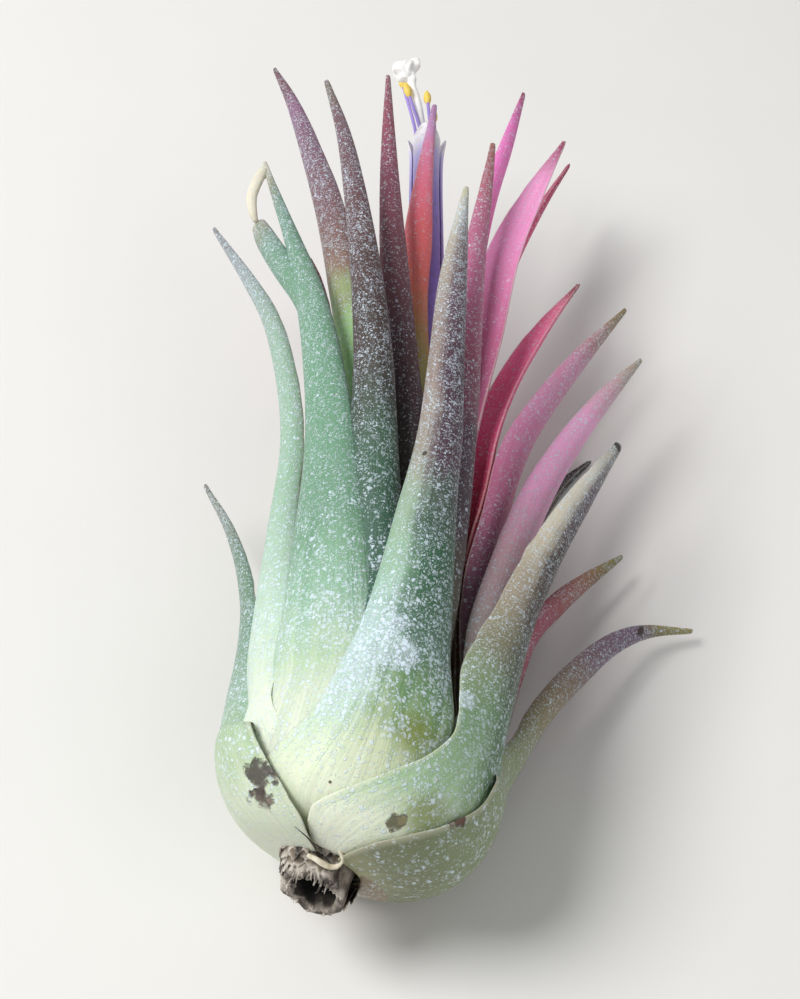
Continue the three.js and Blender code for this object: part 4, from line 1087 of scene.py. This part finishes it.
# The outer leaves
# Seven old leaves clasp all the others. Their broad pale sheaths are the bulb's skin, and their short
# blades lean outwards, olive and brown, with scars and dry tips.
OUTER_LEAVES = [
    {
        "name": "outer_leaf_under", "slot": "leaf_olive", "turn": 165, "foot": 0, "sunk": 0.4,
        "wrap": (66, 50), "rise": 11, "lifted": (-1, 0.12, 0.45),
        "blade": [
            (0.8, 10, 1.2, 8), (0.6, 18, 1.1, 5), (0.2, 27, 0.9, 3.4), (-0.8, 36, 0.7, 2),
            (-1.8, 42, 0.6, 0.4),
        ],
        "tones": "0 8d7c64, 0.1 9a8a6a, 0.3 8b8560, 0.6 7d7a58, 0.85 75604c, 1 4d3a2e",
        "scales": "0 0.2, 0.4 0.4, 1 0.4",
    },
    {
        "name": "outer_leaf_right_low", "slot": "leaf_olive", "turn": 118, "foot": 0.2, "sunk": 0.45,
        "wrap": (53, 62), "top": (46, 26), "rise": 8, "roll": -60,
        "blade": [
            (11, 3.4, 6.2, 4.6), (12.8, 7.6, 5.8, 3.2), (16, 13, 5, 2.4), (19.3, 17.4, 3.6, 1.8),
            (22, 19.4, 2.5, 1.2), (25.6, 20.4, 1.5, 0.4),
        ],
        "tones": (
            "0 a8a880, 0.08 7a8060, 0.22 8c9874, 0.42 96a07a, 0.6 98886c, 0.76 8c7480, 0.86 867086, "
            "0.92 a09864, 1 b5a860"
        ),
        "scales": "0 0.08, 0.12 0.12, 0.25 0.28, 0.5 0.35, 0.8 0.45, 1 0.5",
        "scars": [((6.9, -6.7, 15.5), 0.9, "5b3626"), ((21.0, 18.7, 3.3), 0.45, "3a2a22")],
    },
    {
        "name": "outer_leaf_left", "slot": "leaf_green", "turn": -98, "foot": 0.2, "sunk": 0.45,
        "wrap": (54, 54), "top": (14, 48), "rise": 7, "roll": 30, "lifted": (1, 0.6, -0.65),
        "blade": [
            (-10.9, 1.6, 9.4, 7.6), (-11, 5.6, 9, 5), (-10.8, 11.5, 8.7, 2.8), (-11.8, 18.2, 8, 1.9),
            (-13.9, 24.2, 7, 1.3), (-16.7, 29.8, 6, 0.35),
        ],
        "tones": (
            "0 e2e6d2, 0.12 d4dec4, 0.2 bccfac, 0.32 9cba96, 0.5 7ea080, 0.75 7c9478, 0.93 93917c, "
            "1 6d5440"
        ),
        "scales": "0 0.05, 0.1 0.12, 0.2 0.4, 0.35 0.75, 0.6 0.65, 1 0.75",
        "scars": [
            ((-7.1, -5.3, 16.6), 1.35, "3a302b"), ((-7.2, -6.6, 15.6), 1.25, "463a32"),
            ((-6.5, -6.9, 16.0), 0.5, "8a7a6c"),
        ],
    },
    {
        "name": "outer_leaf_right", "slot": "leaf_green", "turn": 66, "foot": 0.6, "sunk": 1.1,
        "wrap": (42, 42), "roll": -15, "wavy": 0.35,
        "blade": [
            (9.6, 4.6, 15.2, 6.4), (10.8, 10.3, 15.2, 4.2), (12.4, 15.8, 15, 3.4), (14.9, 22.5, 14, 2.6),
            (16.8, 27.2, 13, 1.7), (18.6, 31.6, 12, 0.8),
        ],
        # painted shade: these tones are the right side in shade, and the lit tones below its left side in
        # painted light
        "tones": (
            "0 f8f8ea, 0.08 f0f2e0, 0.15 ccd8b4, 0.24 6e9268, 0.36 5c7c5c, 0.44 5e6450, 0.55 5a5046, "
            "0.7 584848, 0.85 7a6870, 0.95 958a80, 1 5d4a3c"
        ),
        "scales": "0 0.02, 0.1 0.08, 0.18 0.38, 0.34 0.55, 0.45 0.4, 0.8 0.5, 1 0.75",
        "lit_to": -0.15,
        "lit_tones": (
            "0 f2f2e0, 0.1 eaf0d8, 0.2 b4d0a8, 0.34 90b088, 0.46 908e74, 0.58 aca08c, 0.72 d2cab6, "
            "0.88 d4d0c4, 0.95 b8b0a0, 1 5d4a3c"
        ),
        # thick scales, in part a painted reflection of the light on the belly
        "bloom_and_sheen": [((6.9, 1.4, 17.7), 1.5)],
        "stains": [((4.6, -7.4, 16.2), 2.6, "8f9a5c")],
        "scars": [
            ((2.5, -8.2, 16.7), 0.8, "5f5a3c"), ((3.0, -8.0, 16.8), 0.4, "8a8260"),
            ((3.6, -2.6, 19.0), 0.4, "5a3a34"), ((18.4, 31.0, 12.4), 0.5, "2e221e"),
        ],
    },
    {
        "name": "outer_leaf_under_left", "slot": "leaf_green", "turn": -146, "foot": 0.8, "sunk": 1.1,
        "wrap": (50, 50), "rise": 11,
        "blade": [
            (-6.4, 12, 3.2, 6), (-7.2, 20, 2.4, 4), (-8.2, 28, 1.7, 2.8), (-9.6, 36, 1, 1.8),
            (-11, 42, 0.6, 0.4),
        ],
        "tones": "0 c9cba8, 0.12 aebb90, 0.3 8aa37e, 0.6 76906f, 0.85 7f8068, 1 5d4a3a",
        "scales": "0 0.2, 0.3 0.6, 0.7 0.6, 1 0.7",
    },
    {
        "name": "outer_leaf_front", "slot": "leaf_green", "turn": 10, "foot": 1.2, "sunk": 1.8,
        "wrap": (34, 34), "top": (25, 35),
        "blade": [
            (2.6, 7, 19.6, 6.6), (3.35, 17, 20.6, 4.5), (3.9, 23.3, 21.6, 3.5), (4, 30.5, 23.2, 2.8),
            (4.1, 38.2, 24.6, 2.2), (4.6, 47.2, 26, 0.35),
        ],
        # painted shade: these tones are the right side in shade, and the lit tones below its left side in
        # painted light
        "tones": (
            "0 f0f0d8, 0.08 e8eed8, 0.15 d2dcb8, 0.22 88a878, 0.3 507c58, 0.42 4a745a, 0.5 5c6c60, "
            "0.56 66505a, 0.7 604452, 0.82 745864, 0.92 a09088, 1 d4cca4"
        ),
        "scales": (
            "0 0, 0.09 0.04, 0.14 0.16, 0.2 0.48, 0.3 0.7, 0.4 0.5, 0.55 0.5, 0.75 0.55, 0.88 0.65, "
            "0.95 0.9, 1 0.7"
        ),
        # painted highlight: the lit cover adds silver on the sheath's left side, where the light falls
        "lit_to": -0.2, "painted_highlight_cover": 0.45,
        "lit_tones": (
            "0 f0f0d8, 0.1 e6eed2, 0.2 cce2c4, 0.3 a8cab0, 0.42 a4c4a6, 0.5 a4b8a0, 0.56 a8a496, "
            "0.66 a8988e, 0.75 a09088, 0.88 beb2a0, 1 d8d2a8"
        ),
        # thick scales, in part a painted reflection of the light on the belly
        "bloom_and_sheen": [((2.0, 3.4, 20.1), 3.0), ((1.2, 6.0, 20.2), 2.0)],
        "stains": [((3.6, -2.6, 19.0), 2.4, "8c9a4a")],
        "scars": [((-2.0, -6.3, 18.2), 0.2, "5a4a30"), ((2.7, 21.0, 21.7), 0.22, "3a3028")],
    },
    {
        "name": "outer_leaf_under_right", "slot": "leaf_olive", "turn": 142, "foot": 1.4, "sunk": 1.6,
        "wrap": (44, 44), "rise": 12,
        "blade": [
            (6.8, 13, 3.6, 5), (8.6, 20, 2.6, 3.5), (11, 28, 1.7, 2.6), (14.2, 35.6, 0.9, 1.8),
            (17, 39.6, 0.6, 0.5),
        ],
        # the tones go darker towards the tip, to near black at its end
        "tones": "0 bfb890, 0.12 9a9a70, 0.35 7a7a56, 0.6 6f5f50, 0.85 55423a, 0.95 2e221e, 1 1d1614",
        "scales": "0 0.15, 0.4 0.4, 0.8 0.3, 1 0.1",
    },
]
for leaf in OUTER_LEAVES:
    dress(add_leaf(leaf), leaf_material(leaf), leaf["slot"], leaf["name"])

# The remains of the old leaves
# What is left of the oldest leaf bases round the cut end: torn stubs of grey-brown fibre, one thin
# cream scrap that has curled off, and a frayed thread of it.
OLD_SHEATHS = [
    {
        "name": "old_sheath_collar",
        "turn": -42,
        "wrap": 78,
        "rows": [(0.3, 3.0, 0.16), (1.1, 3.12, 0.2), (2.0, 3.3, 0.2)],
        "tatters": 0.55,
        "layers": [(-0.5, 0.25), (-0.3, 0.65), (-0.1, 1.05), (0.12, 1.5)],
    },
    {
        "name": "old_sheath_under",
        "turn": 168,
        "wrap": 60,
        "rows": [(0.3, 3.0, 0.16), (1.2, 3.15, 0.2), (2.0, 3.3, 0.2)],
        "tatters": 0.5,
        "layers": [(-0.5, 0.45), (-0.25, 0.9)],
    },
]
FRAYED_SHARE = 0.2
CURL = [
    (-10, 2.9, 1.1, 0.3),
    (4, 3.0, 0.95, 0.4),
    (16, 3.1, 0.8, 0.45),
    (26, 3.25, 0.8, 0.4),
    (33, 3.6, 1.0, 0.4),
    (33, 3.95, 1.35, 0.35),
    (28, 4.05, 1.7, 0.3),
    (23, 3.9, 1.95, 0.2),
]
CURL_BEND = 25
CURL_DEPTH = 0.06
CURL_THICK = 0.2
THREAD = [
    (-2.7, -8.6, 12.7),
    (-3.0, -8.75, 13.5),
    (-3.5, -8.5, 14.3),
    (-3.9, -8.45, 14.9),
    (-4.4, -8.2, 15.2),
]


def sheath_strip(sheath, spread, sink):
    """A strip that clasps the stem near its cut end, spread outwards and sunk up along the stem."""
    stations = []
    bends = (sheath["wrap"], sheath["wrap"])
    for height, radius, thick in sheath["rows"]:
        point, along, back = stem_line.beside(height + sink, sheath["turn"])
        section = arc_section(radius + spread, bends, thick)
        place = point + back * (radius + spread)
        stations.append((place, back, np.cross(along, back), section, bends, 0))
    return Strip(stations)


def torn(depth, seed):
    """Gives a shape that tears a strip's lower end into points up to depth millimetres long."""

    def shape(places, along, across, back):
        teeth = [noise.noise(Vector((c * 9, seed, 2))) for c in across]
        small_teeth = [0.7 * noise.noise(Vector((c * 31, seed, 5))) for c in across]
        for grain, amount in ((1.6, 0.15), (5.5, 0.13)):
            bumps = [noise_push(place * grain + np.array((seed, 0, 0))) for place in places]
            places = places + np.array(bumps) * amount
        places[:, 1] += (1 - along) * depth * (np.array(teeth) + np.array(small_teeth) - 0.2)
        places[:, 1] += SLANT * (places[:, 2] - STEM_LINE[0][2])
        return places

    return shape


def mark_frayed(piece):
    """Marks the lower end of a strip, whose fibres are frayed and pale."""
    along = np.empty(len(piece.data.vertices), dtype=np.float32)
    piece.data.attributes["along"].data.foreach_get("value", along)
    mark(piece, "frayed", np.clip(1 - along / FRAYED_SHARE, 0, 1))


def thread_radius(distance):
    return 0.09 - 0.02 * distance


old_fibre = fibre_material("old_fibre", "17100b", "7d7062")
for sheath in OLD_SHEATHS:
    layers = []
    for i, (spread, sink) in enumerate(sheath["layers"]):
        shape = torn(sheath["tatters"], i * 3.7)
        layers.append(add_strip("layer", sheath_strip(sheath, spread, sink), 52, 16, shape=shape))
        mark_frayed(layers[-1])
    if sheath["name"] == "old_sheath_collar":
        layers.append(add_rod("thread", Line(THREAD), thread_radius, sides=5, rings=14))
    stub = join_pieces(sheath["name"] + "_torn", layers)
    dress(stub, old_fibre, "old_sheath", sheath["name"])

# the scrap is a narrow ribbon that runs round the stump and curls out at its end
stations = []
for degrees, radius, height, width in CURL:
    point, along, back = stem_line.beside(height, degrees)
    place = point + back * radius + [0, SLANT * radius * math.cos(math.radians(degrees)), 0]
    section = (width / 2, CURL_DEPTH, width / 2, CURL_DEPTH, CURL_THICK)
    stations.append((place, back, along, section, (CURL_BEND, CURL_BEND), 1))
curl = add_strip("old_sheath_curl_torn", Strip(stations), 6, 40, edge=0.5)
cream_paper = fibre_material("cream_paper", "a89a7e", "e6dfcc", roughness=0.7)
dress(curl, cream_paper, "papery_sheath", "old_sheath_curl")

# The floor, the light and the camera
# A pale studio sheet, one big soft light from the upper left as in the picture, a weak one opposite
# and a view from 50 degrees above with the cut end nearest.
LENS = 65
SENSOR = 36
VIEW_ELEVATION = 50
VIEW_AZIMUTH = 4
VIEW_DISTANCE = 150
VIEW_TARGET = (0.5, 26.0, 10)
FLOOR_SIZE = 1.6
LIGHT_AIM = (0, 0.03, 0.01)
LIGHTS = (("key", (-0.30, 0.02, 0.42), 0.28, 2.4), ("fill", (0.38, -0.25, 0.30), 0.40, 0.35))
SKY = (0.95, 0.97, 1.0, 1.0)
SKY_STRENGTH = 0.36
bpy.ops.mesh.primitive_plane_add(size=FLOOR_SIZE, location=(0, 0, 0))
floor = bpy.context.object
floor.name = floor.data.name = "studio_floor"
floor_material, floor_tree, floor_place = new_material("pale_floor")
floor_grain = noise_at(floor_tree, floor_place, 60, 3)
floor_tone = mix(floor_tree, floor_grain, colour("e9e7e3"), colour("e5e3df"))
finish_material(floor_tree, floor_tone, 0.9, floor_grain, bump=0.02)
floor.data.materials.append(floor_material)

for name, place, size, power in LIGHTS:
    light = bpy.data.lights.new(name, "AREA")
    light.shape = "DISK"
    light.size = size
    light.energy = power
    lamp = bpy.data.objects.new(name, light)
    lamp.location = place
    lamp.rotation_euler = (Vector(LIGHT_AIM) - Vector(place)).to_track_quat("-Z", "Y").to_euler()
    bpy.context.collection.objects.link(lamp)
world = bpy.data.worlds.new("studio")
world.use_nodes = True
sky = world.node_tree.nodes["Background"].inputs
sky["Color"].default_value = SKY
sky["Strength"].default_value = SKY_STRENGTH
bpy.context.scene.world = world
bpy.context.scene.view_settings.view_transform = "Standard"

camera = bpy.data.objects.new("camera", bpy.data.cameras.new("camera"))
camera.data.lens = LENS
camera.data.sensor_width = SENSOR
camera.data.clip_start = 0.01
target = Vector(VIEW_TARGET) * MM
elevation, azimuth = math.radians(VIEW_ELEVATION), math.radians(VIEW_AZIMUTH)
level = math.cos(elevation)
away = Vector((math.sin(azimuth) * level, -math.cos(azimuth) * level, math.sin(elevation)))
camera.location = target + away * VIEW_DISTANCE * MM
camera.rotation_euler = (-away).to_track_quat("-Z", "Y").to_euler()
bpy.context.collection.objects.link(camera)
bpy.context.scene.camera = camera
